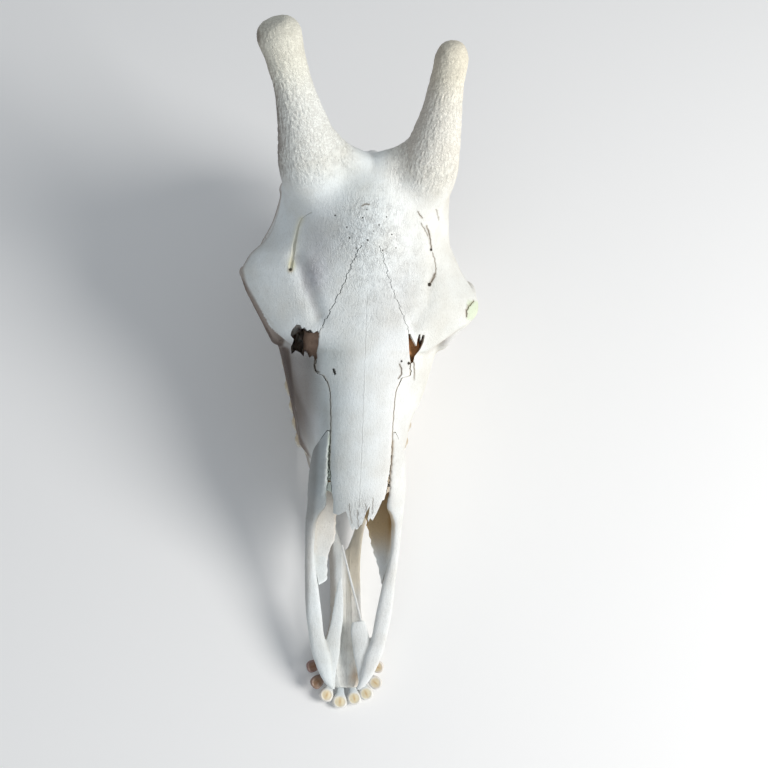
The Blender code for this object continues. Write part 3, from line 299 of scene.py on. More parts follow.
# Details of the surface seen from above the face: points across and along, with a radius.
GROOVE_RIGHT = (
    (-56, 455, 0.8), (-60, 453, 0.9), (-65, 449, 1.1), (-68, 441, 1.7), (-70, 430, 2.1),
    (-71.5, 418, 2.2), (-73, 407, 2.4), (-73.6, 401, 2.0))
CRACKS = (
    ((45, 459.5, 0.5), (48, 456.5, 0.8), (50.5, 454, 0.4)),
    ((49, 449, 0.4), (53, 444, 0.7), (57.5, 438, 0.5)),
    ((55, 447, 0.5), (58.5, 441, 0.9), (60.5, 433, 0.9), (62, 426, 1.4)),
    ((67, 403, 0.4), (65, 397.5, 0.7), (62.2, 392.5, 1.4)),
    ((64, 464, 0.5), (66.5, 459.5, 0.8), (69, 455, 0.4)),
    ((49.5, 316, 1.1), (50.8, 308, 0.8), (51.5, 299, 0.4)),
    ((-9.5, 461, 0.5), (-6, 463.5, 0.9), (-2.5, 462.5, 0.5)),
    ((63.5, 423, 0.5), (66.8, 416, 0.45), (68.5, 408, 0.4), (67.5, 400, 0.45), (64, 394.5, 0.6)),
    ((-1.5, 172, 0.3), (-0.5, 163, 0.4), (0.6, 155, 0.5)),
    ((6.5, 178, 0.3), (7.3, 170, 0.4), (7.6, 163, 0.45)),
    ((-9.5, 178, 0.3), (-8.2, 168, 0.4), (-6, 159, 0.5)),
    ((13.2, 184, 0.3), (13.4, 176, 0.4), (13.6, 168, 0.4)),
    ((109.5, 378.5, 0.6), (104.5, 373.5, 0.9), (101, 368.5, 1.1), (101.5, 362, 1.0)),
    ((-47, 317, 0.8), (-47.6, 312, 0.9), (-47, 305, 0.8), (-43, 303.6, 0.7)),
    ((34.4, 313.6, 0.9), (36.8, 308, 1.0), (37.2, 304, 0.9), (33.5, 299.5, 0.9)))
CRACK_SINK, GROOVE_SINK = 0.5, -0.25
RECESS_RIGHT = (
    (-30, 241, 1.2), (-29.4, 232, 1.7), (-28.8, 215, 2.0), (-28.2, 200, 2.4), (-28.2, 184, 3.0))
RECESS_LEFT = (
    (29.6, 238, 0.8), (29.2, 225, 1.1), (28.6, 210, 1.5), (28.2, 196, 1.8), (28.2, 184, 2.0))
RECESS_SINK = 0.15
HOLES = (
    (-73.6, 401, 1.6), (62, 425.5, 1.4), (61.8, 391.8, 1.9), (44.2, 314.6, 1.5),
    (36.5, 316.4, 1.1), (-20, 431, 0.8), (-23, 441, 0.7), (-3, 429.5, 0.9), (12, 421, 0.7),
    (-34, 452, 0.7), (-29.3, 306.2, 1.2), (-28.6, 304.2, 1.4), (-27.9, 302.3, 1.1), (7, 444, 0.8),
    (-9, 450, 0.7), (20, 436, 0.7), (2, 438, 0.6), (-13, 422, 0.7), (25, 424, 0.6), (-5, 458, 0.6),
    (14, 452, 0.7))
HOLE_DEPTH = 5.0
ROD_SIDES = 14

# Soft hollows of the surface as lines (x, y, z), then with the depth and width of each.
VALLEY_RIGHT = (
    (-69, 412, -9), (-63.8, 402.4, -7.4), (-58.6, 388.2, -7.1), (-52.3, 372.2, -6.5),
    (-46.1, 357.1, -6.3))
VALLEY_LEFT = ((69, 408.3, -16.4), (63.8, 386.4, -9.6), (57.2, 366.7, -6.7), (47.9, 351.8, -6.2))
STEP_LEFT = ((58, 440, -2), (64, 424, -8), (68, 412, -12), (67, 400, -10), (63, 392, -8))
HOLLOW_LEFT = ((92.4, 351, -45), (84, 341, -42), (75, 329, -37))
CARVED_LINES = ((VALLEY_RIGHT, 4.2, 8.0), (VALLEY_LEFT, 2.1, 8.0), (STEP_LEFT, 1.6, 4.5),
                (HOLLOW_LEFT, 2.4, 6.5))

# Soft blots, each a centre and its reach: the dome of the boss with its rise, the feet of the
# ossicones with the passes that blend them in, rough areas, and two areas with fine wear.
DOME = (-3, 434, 14), (33, 44, 40), 4.6
BLEND = (52, 474, 0), (52, 40, 60), 140
BOSS_ROUGH = (-2, 434, 12), (44, 54, 60)
ROOF_ROUGH = (0, 405, 0), (96, 80, 80)
BRUSHED = (-52, 395, -4), (16, 26, 20)
SPLINTERED = (3, 166, -4), (26, 30, 30)
REFINED_OVER = 0.42

# Brown bands of the right side, painted shade with some stain: the underside of the orbit's rim and
# the cheek.
SHADE_AND_STAIN_BANDS = (
    ((-121.2, 387.3), (-113.9, 374.8), (-104.6, 360.3), (-93.3, 344.9), (-81, 331.4)),
    ((-75.5, 321.8), (-71.5, 293.4), (-66.5, 262.9), (-59.4, 234.5), (-50.6, 217.4)))

# Outlines of the two gaps and of the broken fronts of the nasal bones, from above.
GAP_RIGHT = (
    (-70.7, 340.9), (-69.7, 343.8), (-65.8, 348.6), (-62, 348.1), (-60, 344.7), (-58.1, 346.2),
    (-55.2, 342.8), (-52.3, 344.2), (-49.4, 340.9), (-45.6, 343.3), (-43.8, 340.9), (-44.1, 329.3),
    (-45.6, 322.5), (-44.6, 316.7), (-47, 313.9), (-48.9, 319.6), (-52.3, 316.7), (-54, 321),
    (-55.6, 331.5), (-57.4, 317.7), (-61, 321.6), (-64.9, 323.5), (-68.7, 319.6), (-69.7, 326.4),
    (-67.8, 334.1), (-71.1, 338))
GAP_LEFT = (
    (41.7, 342.9), (44.2, 343.3), (45.8, 340), (49.2, 334.6), (51, 331.8), (51.4, 337.8),
    (52.6, 342.9), (54.3, 343.4), (55, 337), (56.5, 342.9), (58.9, 342.4), (58.4, 336.1),
    (56, 329.3), (53.7, 325.7), (50.4, 321.2), (49.2, 315.8), (46.6, 314.4), (45.1, 320.7),
    (43.2, 330.3))
TIP_RIGHT = (
    (-60, 120), (-60, 166), (-24, 167.6), (-20.8, 166.6), (-18.9, 166.2), (-16, 168.1),
    (-12.2, 170.6), (-9.8, 164.2), (-6.8, 156.3), (-4.8, 151.7), (-3.1, 155.5), (-1.7, 152.8),
    (-0.1, 153.3), (2, 157), (2, 120))
TIP_LEFT = (
    (-2, 120), (-2, 153), (0.4, 153.6), (2.1, 157.1), (4, 158), (5.5, 163.7), (7.3, 169.7),
    (10.7, 176.4), (10.2, 169), (9.2, 163.5), (10, 160.6), (11.6, 164.2), (14.1, 161.7),
    (17.4, 168.1), (22.9, 181.3), (60, 184), (60, 120))
BEAK_TIP_THICK = 2.2

# Thin bones inside the snout, seen through the gaps: a line across and the run along the face.
SCROLL_RIGHT = ((-38, -23), (-46, -26), (-52, -30), (-55.5, -38), (-57, -56))
SCROLL_LEFT = ((36, -23), (45, -27), (52, -31), (60, -35), (70, -46))
SCROLL_FROM, SCROLL_TO = 309.0, 353.0
SCROLL_THICK = 1.6
SLIVER_FLAT = 0.7
SLIVER = (
    (-10.1, 131, -53, 0.9), (-4.5, 112, -49.5, 1.0), (1.5, 92.3, -46.5, 1.1), (8, 72, -44.5, 1.0),
    (14.4, 51.5, -42.5, 0.9))

# Openings for nerves and vessels, as a centre and radii; that of the jaw in the palate's frame.
INFRAORBITAL = (64, 262, -86), (5, 8, 4.5)
EAR_OPENING = (68, 512, -163), (9, 4, 4.5)
OPTIC_OPENING = (50, 392, -86), (9, 4.5, 5)
MENTAL = (15.5, 74, -27), (3.5, 7.5, 3.5)

# Reach and depth of the surface's relief, in metres.
RELIEF_SIZES = (
    ("Sway size", 0.026), ("Sway depth", 0.0005), ("Ridge size", 0.0032), ("Ridge depth", 0.0006),
    ("Pit size", 0.0034), ("Pit depth", 0.0007))
SWAY_MIDDLE = 0.74
SEED = 11
# Share of the cranium's faces that is kept.
CRANIUM_SHARE = 0.75

# Points round each solid and stations along it.
TOOTH_SIDES, TOOTH_LEVELS = 40, 12
CROWN_SIDES = 32
CORE_RING = 30
SHELF_RING, SHELF_STATIONS = 28, 50
FORE_STATIONS = 96
BEAK_RING, BEAK_STATIONS = 13, 14
CAVITY_RING, CAVITY_STATIONS = 9, 14
NASAL_STATIONS = 230
SCROLL_RING, SCROLL_STATIONS = 14, 24

CAMERA_AT = (-125.0, 317.0, 1300.0)
CAMERA_AIM = (19.0, 294.0, 0.0)
CAMERA_ROLL = math.radians(1.9)
CAMERA_LENS = 63.87
CAMERA_SENSOR = 36.0

# Colours, and how far the bump of the bone reaches in metres.
WHITE = (1, 1, 1)
BONE_LIGHT, BONE_DULL = (0.83, 0.85, 0.845), (0.73, 0.725, 0.69)
FLECK, DENT = (0.74, 0.73, 0.71), (0.60, 0.57, 0.55)
TOOTH_CLOUD, CHEEK_TOOTH, FRONT_TOOTH = (0.86, 0.84, 0.80), (0.80, 0.775, 0.70), (0.88, 0.87, 0.83)
BUMP_REACH = 0.0022
SHARP_ANGLE = math.radians(50)

# Floor in millimetres; lamps with their place, aim, size, power and colour.
FLOOR_REACH, FLOOR_THICK = 4000, 20
LAMPS = (("key", (1.75, -0.7, 1.5), (0, 0, 0.2), 1.2, 45, (1.0, 0.975, 0.94)),
         ("fill", (-0.6, -1.5, 2.0), (0, 0, 0.15), 1.6, 5, (0.86, 0.93, 1.0)))
ROOM_COLOUR, ROOM_LIGHT = (0.90, 0.95, 1.0, 1), 0.38


def curve(knots):
    """A smooth function through the knots, without overshoot and level beyond its ends."""
    at, value = np.array(knots, float).T
    step = np.diff(at)
    slope = np.diff(value) / step
    lean = np.zeros(len(at))
    for i in range(1, len(at) - 1):
        if slope[i - 1] * slope[i] > 0:
            lean[i] = 2 * slope[i - 1] * slope[i] / (slope[i - 1] + slope[i])
    lean[0], lean[-1] = slope[0], slope[-1]

    def read(x):
        x = np.clip(x, at[0], at[-1])
        i = np.clip(np.searchsorted(at, x, side="right") - 1, 0, len(at) - 2)
        t = (x - at[i]) / step[i]
        rest = 1 - t
        return (value[i] * (1 + 2 * t) * rest**2 + value[i + 1] * t**2 * (3 - 2 * t)
                + step[i] * (lean[i] * t * rest**2 - lean[i + 1] * t**2 * rest))

    return read


def from_palate(x, z):
    """Depth along the face and height over it of a point given in the frame of the palate."""
    along = x * math.cos(PALATE_SLOPE) + z * math.sin(PALATE_SLOPE)
    up = -PALATE_DROP - x * math.sin(PALATE_SLOPE) + z * math.cos(PALATE_SLOPE)
    return along, up


def mesh_object(name, points, faces):
    mesh = bpy.data.meshes.new(name)
    mesh.from_pydata([tuple(np.array(p, float) * MM) for p in points], [], faces)
    bm = bmesh.new()
    bm.from_mesh(mesh)
    bmesh.ops.recalc_face_normals(bm, faces=bm.faces)
    bm.to_mesh(mesh)
    bm.free()
    obj = bpy.data.objects.new(name, mesh)
    bpy.context.scene.collection.objects.link(obj)
    return obj


def loft(name, rings):
    """A closed solid through rings of equal count, with flat ends."""
    count = len(rings[0])
    points = [p for ring in rings for p in ring]
    faces = [tuple(reversed(range(count)))]
    for i in range(len(rings) - 1):
        for j in range(count):
            k = (j + 1) % count
            near, far = i * count, (i + 1) * count
            faces += [(near + j, near + k, far + k), (near + j, far + k, far + j)]
    faces.append(tuple(range((len(rings) - 1) * count, len(rings) * count)))
    return mesh_object(name, points, faces)


def half_line(corners, steps):
    """A smooth line through the corners of one half of a section, top to bottom."""
    corners = np.array(corners, float)
    gone = np.concatenate([[0], np.cumsum(np.linalg.norm(np.diff(corners, axis=0), axis=1))])
    across = curve(tuple(zip(gone, corners[:, 0])))
    height = curve(tuple(zip(gone, corners[:, 1])))
    t = np.linspace(0, gone[-1], steps)
    return [(float(across(s)), float(height(s))) for s in t]


def half_section(corners, steps):
    """A full ring at one station from the corners of its left half, top to bottom."""
    left = half_line(corners, steps)
    return left + [(-x, z) for x, z in reversed(left[1:-1])]


def tube(name, knots, sides=12, depth=1.0, steps=4):
    """A round or flattened tube through (x, y, z, radius) knots."""
    knots = np.array(knots, float)
    t = np.arange(len(knots), dtype=float)
    reads = [curve(tuple(zip(t, knots[:, i]))) for i in range(4)]
    fine = np.linspace(0, len(knots) - 1, steps * (len(knots) - 1) + 1)
    line = np.array([[float(read(s)) for read in reads] for s in fine])
    rings = []
    for i, row in enumerate(line):
        ahead = line[min(i + 1, len(line) - 1), :3] - line[max(i - 1, 0), :3]
        ahead = Vector(ahead).normalized()
        side = ahead.cross(Vector((0, 0, 1)))
        side = side.normalized() if side.length > 0.05 else Vector((1, 0, 0))
        up = side.cross(ahead).normalized()
        ring = []
        for j in range(sides):
            a = 2 * math.pi * j / sides
            offset = side * math.cos(a) * row[3] + up * math.sin(a) * row[3] * depth
            ring.append(tuple(Vector(row[:3]) + offset))
        rings.append(ring)
    return loft(name, rings)


def ring_tube(name, knots, sides=10, steps=4):
    """A tube round a closed loop of (x, y, z, radius) knots."""
    knots = np.array(knots, float)
    count = len(knots) * steps
    centre = Vector(knots[:, :3].mean(axis=0))
    line = []
    for i in range(count):
        k, t = divmod(i, steps)
        t /= steps
        p = [knots[(k + d) % len(knots)] for d in (-1, 0, 1, 2)]
        line.append(0.5 * (2 * p[1] + (p[2] - p[0]) * t
                           + (2 * p[0] - 5 * p[1] + 4 * p[2] - p[3]) * t**2
                           + (3 * p[1] - p[0] - 3 * p[2] + p[3]) * t**3))
    points = []
    for i in range(count):
        ahead = Vector(line[(i + 1) % count][:3] - line[i - 1][:3]).normalized()
        here = Vector(line[i][:3])
        out = (here - centre).normalized()
        out = (out - ahead * out.dot(ahead)).normalized()
        side = ahead.cross(out)
        for j in range(sides):
            a = 2 * math.pi * j / sides
            points.append(here + (out * math.cos(a) + side * math.sin(a)) * line[i][3])
    faces = []
    for i in range(count):
        for j in range(sides):
            k, n = (j + 1) % sides, (i + 1) % count
            faces.append((i * sides + j, i * sides + k, n * sides + k, n * sides + j))
    return mesh_object(name, [tuple(p) for p in points], faces)


def ball(name, centre, size, turn=0.0, rings=12, sides=18):
    """An ellipsoid, turned about the upright axis."""
    points = [(0, 0, 1)]
    for i in range(1, rings):
        a = math.pi * i / rings
        for j in range(sides):
            b = 2 * math.pi * j / sides
            points.append((math.sin(a) * math.cos(b), math.sin(a) * math.sin(b), math.cos(a)))
    points.append((0, 0, -1))
    spin = Matrix.Rotation(turn, 3, "Z")
    placed = []
    for p in points:
        stretched = Vector([p[i] * size[i] for i in range(3)])
        placed.append(tuple(spin @ stretched + Vector(centre)))
    faces = [(0, 1 + j, 1 + (j + 1) % sides) for j in range(sides)]
    for i in range(rings - 2):
        for j in range(sides):
            a, b = 1 + i * sides, 1 + (i + 1) * sides
            k = (j + 1) % sides
            faces.append((a + j, b + j, b + k, a + k))
    last = 1 + (rings - 2) * sides
    faces += [(len(points) - 1, last + (j + 1) % sides, last + j) for j in range(sides)]
    return mesh_object(name, placed, faces)


def prism(name, outline, view, low, high):
    """An outline seen from the top (x, y) or the side (y, z), drawn out from low to high."""
    if view == "top":
        rings = [[(a, b, level) for a, b in outline] for level in (low, high)]
    else:
        rings = [[(level, a, b) for a, b in outline] for level in (low, high)]
    return loft(name, rings)


def at_side(side, place):
    """A place of the skull's left (1), or its mirror on the right (-1)."""
    return (side * place[0],) + tuple(place[1:])


def sided(side, places):
    return [at_side(side, place) for place in places]


def side_prism(name, outline, side, inner, outer):
    """An outline seen from the side, drawn out between two distances from the middle."""
    return prism(name, outline, "side", *sorted((side * inner, side * outer)))


def square(reach):
    return (-reach, -reach), (reach, -reach), (reach, reach), (-reach, reach)


def squared(step, sides, across, up):
    """Cosine and sine of one step round a ring, with powers that square the ring off."""
    a = 2 * math.pi * step / sides
    c, s = math.cos(a), math.sin(a)
    return math.copysign(abs(c)**across, c), math.copysign(abs(s)**up, s)


def evaluated(obj):
    """Applies the object's modifiers."""
    graph = bpy.context.evaluated_depsgraph_get()
    graph.update()
    mesh = bpy.data.meshes.new_from_object(obj.evaluated_get(graph))
    obj.modifiers.clear()
    old = obj.data
    obj.data = mesh
    bpy.data.meshes.remove(old)
    return obj


def remove(*objects):
    for obj in objects:
        mesh = obj.data
        bpy.data.objects.remove(obj)
        bpy.data.meshes.remove(mesh)


def copy_of(obj, name):
    twin = bpy.data.objects.new(name, obj.data.copy())
    bpy.context.scene.collection.objects.link(twin)
    return twin


def joined(name, pieces):
    """One object that holds the meshes of all the pieces, which may cross."""
    bm = bmesh.new()
    for piece in pieces:
        bm.from_mesh(piece.data)
    mesh = bpy.data.meshes.new(name)
    bm.to_mesh(mesh)
    bm.free()
    obj = bpy.data.objects.new(name, mesh)
    bpy.context.scene.collection.objects.link(obj)
    remove(*pieces)
    return obj


def fused(name, pieces, voxel, passes):
    """The pieces melted into one skin and smoothed."""
    obj = joined(name, pieces)
    remesh = obj.modifiers.new("melt", "REMESH")
    remesh.mode = "VOXEL"
    remesh.voxel_size = voxel * MM
    smooth = obj.modifiers.new("soften", "SMOOTH")
    smooth.factor = 0.5
    smooth.iterations = passes
    return largest(evaluated(obj))


def combine(obj, other, operation):
    boolean = obj.modifiers.new(operation.lower(), "BOOLEAN")
    boolean.operation = operation
    boolean.solver = "MANIFOLD"
    boolean.object = other
    evaluated(obj)
    remove(other)
    return obj


def cut(obj, other):
    """Takes the other object out of the first."""
    return combine(obj, other, "DIFFERENCE")


def shared(obj, other):
    """Keeps what the two objects share."""
    return combine(obj, other, "INTERSECT")


roof = curve(ROOF)
NASAL_EDGE, PREMAX_INNER = curve(NASAL_X), curve(PREMAX_IN_X)


def core():
    shoulder_x, shoulder_z = curve(SHOULDER_X), curve(SHOULDER_Z)
    side_x, side_z = curve(SIDE_X), curve(SIDE_Z)
    margin_x, margin_z = curve(MARGIN_X), curve(MARGIN_Z)
    gum_x, base_z = curve(GUM_X), curve(BASE_Z)
    rings = []
    for y in np.linspace(CORE_FROM, CORE_TO, int((CORE_TO - CORE_FROM) / CORE_STEP) + 1):
        top, fall = roof(y), roof(y) - shoulder_z(y)
        half = [(0, top), (0.14 * shoulder_x(y), top - 0.012 * fall),
                (CROWN_X * shoulder_x(y), top - CROWN_FALL * fall),
                (shoulder_x(y), shoulder_z(y)), (side_x(y), side_z(y)),
                (margin_x(y), margin_z(y)), (gum_x(y), margin_z(y) + 2), (0, base_z(y))]
        rings.append([(x, y, z) for x, z in half_section(half, CORE_RING)])
    return loft("core", rings)


def shelf():
    left_x, right_x, shelf_z = curve(SHELF_X_LEFT), curve(SHELF_X_RIGHT), curve(SHELF_Z)
    rings = []
    for y in np.linspace(SHELF_FROM, SHELF_TO, SHELF_STATIONS):
        top, rim = roof(y), shelf_z(y)
        fall = top - rim
        halves = []
        for x in (left_x(y), right_x(y)):
            halves.append(half_line(
                [(0, top), (0.1 * x, top - 0.006 * fall), (0.4 * x, top - 0.14 * fall),
                 (0.78 * x, top - 0.52 * fall), (x, rim),
                 (x - 4, rim - SHELF_RIM), (0.6 * x, rim - SHELF_UNDER + 0.1 * fall),
                 (0, rim - SHELF_UNDER)], SHELF_RING))
        ring = halves[0] + [(-a, b) for a, b in reversed(halves[1][1:-1])]
        rings.append([(a, y, b) for a, b in ring])
    return loft("shelf", rings)


def fore_maxilla(side):
    wall_x, wall_top = curve(FORE_WALL_X), curve(FORE_WALL_TOP)
    shelf_x = curve(FORE_SHELF_X_LEFT if side > 0 else FORE_SHELF_X_RIGHT)
    rings = []
    for y in np.linspace(FORE_FROM, FORE_TO, FORE_STATIONS):
        foot = -PALATE_DROP - math.tan(PALATE_SLOPE) * y
        out, top = wall_x(y), max(wall_top(y), foot + FORE_SHELF_THICK)
        inner = shelf_x(y) + wiggle(y, 1.3, 9, 1.0 + side) + wiggle(y, 0.8, 4.3, side)
        corner = max(out - FORE_WALL_THICK, inner + 1)
        ring = [(out, top), (out, (top + foot) / 2), (out - 1.5, foot), ((out + inner) / 2, foot),
                (inner, foot + 1), (inner, foot + FORE_SHELF_THICK - 1),
                ((corner + inner) / 2, foot + FORE_SHELF_THICK), (corner, foot + FORE_SHELF_THICK),
                (corner, (top + foot + FORE_SHELF_THICK) / 2), (corner, top)]
        rings.append([(side * x, y, z) for x, z in ring])
    return loft("fore_maxilla", rings)


def beak():
    """The free front of the nasal roof."""
    beak_x = curve(BEAK_X)
    rings = []
    for y in np.linspace(BEAK_FROM, BEAK_TO, BEAK_STATIONS):
        x = beak_x(y)
        more = (BEAK_THICK - BEAK_TIP_THICK) * (y - BEAK_FROM) / (BEAK_TO - BEAK_FROM)
        thick = BEAK_TIP_THICK + more
        over = [(t * x, roof(y) - BEAK_DROP * t * t) for t in np.linspace(-1, 1, BEAK_RING)]
        under = [(a, b - thick) for a, b in reversed(over)]
        rings.append([(a, y, b) for a, b in over + under])
    return loft("beak", rings)


def upper_skull():
    """The whole upper skull as one skin, before its details."""
    pieces = [core(), shelf(), beak(), fore_maxilla(1), fore_maxilla(-1)]
    pieces += [tube("ossicone", knots, HORN_SIDES) for knots in (OSSICONE_RIGHT, OSSICONE_LEFT)]
    pieces += [tube("saddle", sided(side, SADDLE)) for side in (1, -1)]
    pieces += [tube("crest", CREST), tube("basilar", BASILAR)]
    for side in (1, -1):
        pieces.append(ring_tube("rim", RIM_LEFT if side > 0 else RIM_RIGHT))
        pieces.append(tube("arch", sided(side, ARCH), depth=ARCH_DEPTH))
        pieces += [tube("process", sided(side, knots)) for knots in (MASTOID, JUGULAR_PROCESS)]
        pieces += [ball("lump", at_side(side, centre), size)
                   for centre, size in (JOINT_SHELF, OCCIPITAL_CONDYLE, BULLA)]
        pieces.append(side_prism("pterygoid", PTERYGOID, side, *PTERYGOID_X))
    body = softened(fused("upper", pieces, VOXEL, SMOOTH_PASSES))
    for side in (1, -1):
        cut(body, ball("socket", at_side(side, SOCKET_CENTRE), SOCKET_SIZE, side * SOCKET_TURN,
                       *SOCKET_SIDES))
    cut(body, ball("foramen", *FORAMEN_MAGNUM))
    return largest(body)


def cavity():
    top_x, top_z = curve(CAVITY_TOP_X), curve(CAVITY_TOP_Z)
    side_x, side_z = curve(CAVITY_SIDE_X), curve(CAVITY_SIDE_Z)
    floor_x, floor_z = curve(CAVITY_FLOOR_X), curve(CAVITY_FLOOR_Z)
    rings = []
    for y in np.linspace(CAVITY_FROM, CAVITY_TO, CAVITY_STATIONS):
        half = [(0, roof(y) - CAVITY_ROOF), (top_x(y), top_z(y)), (side_x(y), side_z(y)),
                (floor_x(y), floor_z(y) + 3), (0, floor_z(y))]
        rings.append([(x, y, z) for x, z in half_section(half, CAVITY_RING)])
    return loft("cavity", rings)


def jaw_body(side):
    in_x, out_x = curve(JAW_IN_X), curve(JAW_OUT_X)
    top_z, low_z = curve(JAW_TOP_Z), curve(JAW_LOW_Z)
    rings = []
    for x in np.linspace(JAW_FROM, JAW_TO, int((JAW_TO - JAW_FROM) / JAW_STEP) + 1):
        inner, outer = in_x(x), out_x(x)
        if inner < 1:
            inner = -outer
        middle, wide = (inner + outer) / 2, (outer - inner) / 2
        centre, tall = (top_z(x) + low_z(x)) / 2, (top_z(x) - low_z(x)) / 2
        ring = []
        for j in range(JAW_SIDES):
            c, s = squared(j + 0.5, JAW_SIDES, 0.75, 0.75)
            y, z = from_palate(x, centre + s * tall)
            ring.append((side * (middle + c * wide), y, z))
        rings.append(ring)
    return loft("jaw_body", rings)


def jaw_tube(name, knots):
    placed = []
    for x, across, z, radius in knots:
        y, up = from_palate(x, z)
        placed.append((across, y, up, radius))
    return tube(name, placed)


def jaw_condyle(side, grow):
    y, z = from_palate(*CONDYLE_AT)
    knots = [(side * x, y, z - drop, radius + grow) for x, drop, radius in JAW_CONDYLE]
    knots[0] = (knots[0][0] - side * grow,) + knots[0][1:]
    knots[-1] = (knots[-1][0] + side * grow,) + knots[-1][1:]
    return tube("condyle", knots)


def jaw(side):
    """One half of the lower jaw, without teeth."""
    outline = [from_palate(*p) for p in RAMUS]
    pieces = [jaw_body(side), side_prism("ramus", outline, side, *RAMUS_X), jaw_condyle(side, 0)]
    body = fused("jaw", pieces, JAW_VOXEL, JAW_PASSES)
    cut(body, jaw_tube("trough", TROUGH))
    mark_plain(body, JAW_ROUGH)
    carved(body)
    beyond = ((-FAR, -FAR), (-FAR, FAR), (FAR, FAR), (FAR, -FAR))
    cut(body, side_prism("half", beyond, side, -FAR, JAW_SEAM / 2))
    return largest(body)


def box_beyond(name, point, knots, grow):
    """A block that starts at the foot of an ossicone and holds all of it."""
    axis = (Vector(knots[4][:3]) - Vector(knots[1][:3])).normalized()
    start = Vector(point) - axis * grow
    across = axis.cross(Vector((0, 0, 1))).normalized()
    up = across.cross(axis)
    ends = []
    for reach in (0.0, OSSICONE_REACH):
        centre = start + axis * reach
        ends.append([tuple(centre + (across * a + up * b) * OSSICONE_BLOCK)
                     for a, b in ((-1, -1), (1, -1), (1, 1), (-1, 1))])
    return loft(name, ends)


def maxilla_region(side, grow):
    """The space of one maxilla, or of both for side 0."""
    outline = [(y + grow, z) for y, z in MAXILLA_EDGE] + [(-FAR, FACE_UNDER), (-FAR, FACE_OVER)]
    if side == 0:
        return prism("maxilla_region", outline, "side", -FAR, FAR)
    return side_prism("maxilla_region", outline, side, SUTURE_GAP / 2, FAR)


def grown(outline, by):
    """The outline moved outward by a set distance."""
    points = [Vector(p) for p in outline]
    area = sum(points[i - 1].x * points[i].y - points[i].x * points[i - 1].y
               for i in range(len(points)))
    made = []
    for i, here in enumerate(points):
        before, after = points[i - 1], points[(i + 1) % len(points)]
        a, b = (here - before).normalized(), (after - here).normalized()
        normal_a, normal_b = Vector((a.y, -a.x)), Vector((b.y, -b.x))
        middle = (normal_a + normal_b).normalized()
        reach = by / max(0.35, middle.dot(normal_a))
        made.append(tuple(here + middle * reach * (1 if area > 0 else -1)))
    return made


def points_of(obj):
    """Vertices of a mesh in millimetres."""
    flat = np.empty(len(obj.data.vertices) * 3, np.float32)
    obj.data.vertices.foreach_get("co", flat)
    return flat.reshape(-1, 3).astype(float) / MM


def normals_of(obj):
    flat = np.empty(len(obj.data.vertices) * 3, np.float32)
    obj.data.vertex_normals.foreach_get("vector", flat)
    return flat.reshape(-1, 3).astype(float)


def largest(obj):
    """Keeps the connected surface with the most vertices."""
    count = len(obj.data.vertices)
    ends = np.empty(len(obj.data.edges) * 2, np.int32)
    obj.data.edges.foreach_get("vertices", ends)
    a, b = ends.reshape(-1, 2).T
    label = np.arange(count)
    while True:
        low = np.minimum(label[a], label[b])
        fresh = label.copy()
        np.minimum.at(fresh, a, low)
        np.minimum.at(fresh, b, low)
        fresh = fresh[fresh]
        if (fresh == label).all():
            break
        label = fresh
    names, sizes = np.unique(label, return_counts=True)
    if len(names) > 1:
        keep = names[sizes.argmax()]
        bm = bmesh.new()
        bm.from_mesh(obj.data)
        bm.verts.ensure_lookup_table()
        spare = [bm.verts[i] for i in np.nonzero(label != keep)[0]]
        bmesh.ops.delete(bm, geom=spare, context="VERTS")
        bm.to_mesh(obj.data)
        bm.free()
    return obj


def wiggle(s, size, length, phase):
    """An uneven wave along a seam, in millimetres."""
    t = 2 * math.pi * s / length
    return size * (0.5 * math.sin(t + phase) + 0.3 * math.sin(2.3 * t + 2.1 * phase)
                   + 0.25 * math.sin(5.1 * t + 0.7 * phase))


def bell(value, width):
    """1 where the value is 0, fading over a width."""
    return np.exp(-(value / width)**2)


def fade(value, start, end):
    """Goes smoothly from 0 at start to 1 at end."""
    t = np.clip((value - start) / (end - start), 0, 1)
    return t * t * (3 - 2 * t)


def from_path(points, path):
    """Distance of each point from a line through the path's points."""
    best = np.full(len(points), 1e9)
    path = np.array(path, float)[:, :3]
    for a, b in zip(path[:-1], path[1:]):
        ahead = b - a
        t = np.clip((points - a) @ ahead / (ahead @ ahead), 0, 1)
        best = np.minimum(best, np.linalg.norm(points - a - t[:, None] * ahead, axis=1))
    return best


def spot(points, centre, size):
    """A soft blot, 1 at the centre and near 0 beyond the size."""
    away = np.linalg.norm((points - np.array(centre)) / np.array(size), axis=1)
    return np.exp(-2 * away**2)


def horn_frame(base, knots):
    """Foot and three directions of an ossicone, its length last."""
    foot = np.array(base, float)
    along = np.array(knots[-1][:3]) - foot
    along /= np.linalg.norm(along)
    side = np.cross(along, (0, 0, 1))
    side /= np.linalg.norm(side)
    return foot, np.array((side, np.cross(side, along), along))


HORNS = (
    horn_frame (OSSICONE_BASE_RIGHT, OSSICONE_RIGHT), horn_frame
    (OSSICONE_BASE_LEFT, OSSICONE_LEFT))


def horn_reach(points, horn):
    """How far each point is up an ossicone, and how much it belongs to it."""
    foot, turn = HORNS[horn]
    local = (points - foot) @ turn.T
    beside = np.hypot(local[:, 0], local[:, 1])
    own = fade(-beside, -52, -34) * fade(local[:, 2], -46, -8)
    own = own * (points[:, 0] < 0 if horn == 0 else points[:, 0] > 0)
    return local, own


def store(obj, name, kind, values):
    """Writes values on the points of a mesh under a name."""
    layer = obj.data.attributes.new(name, kind, "POINT")
    layer.data.foreach_set("vector" if kind == "FLOAT_VECTOR" else "value",
                           np.ascontiguousarray(values, np.float32).ravel())


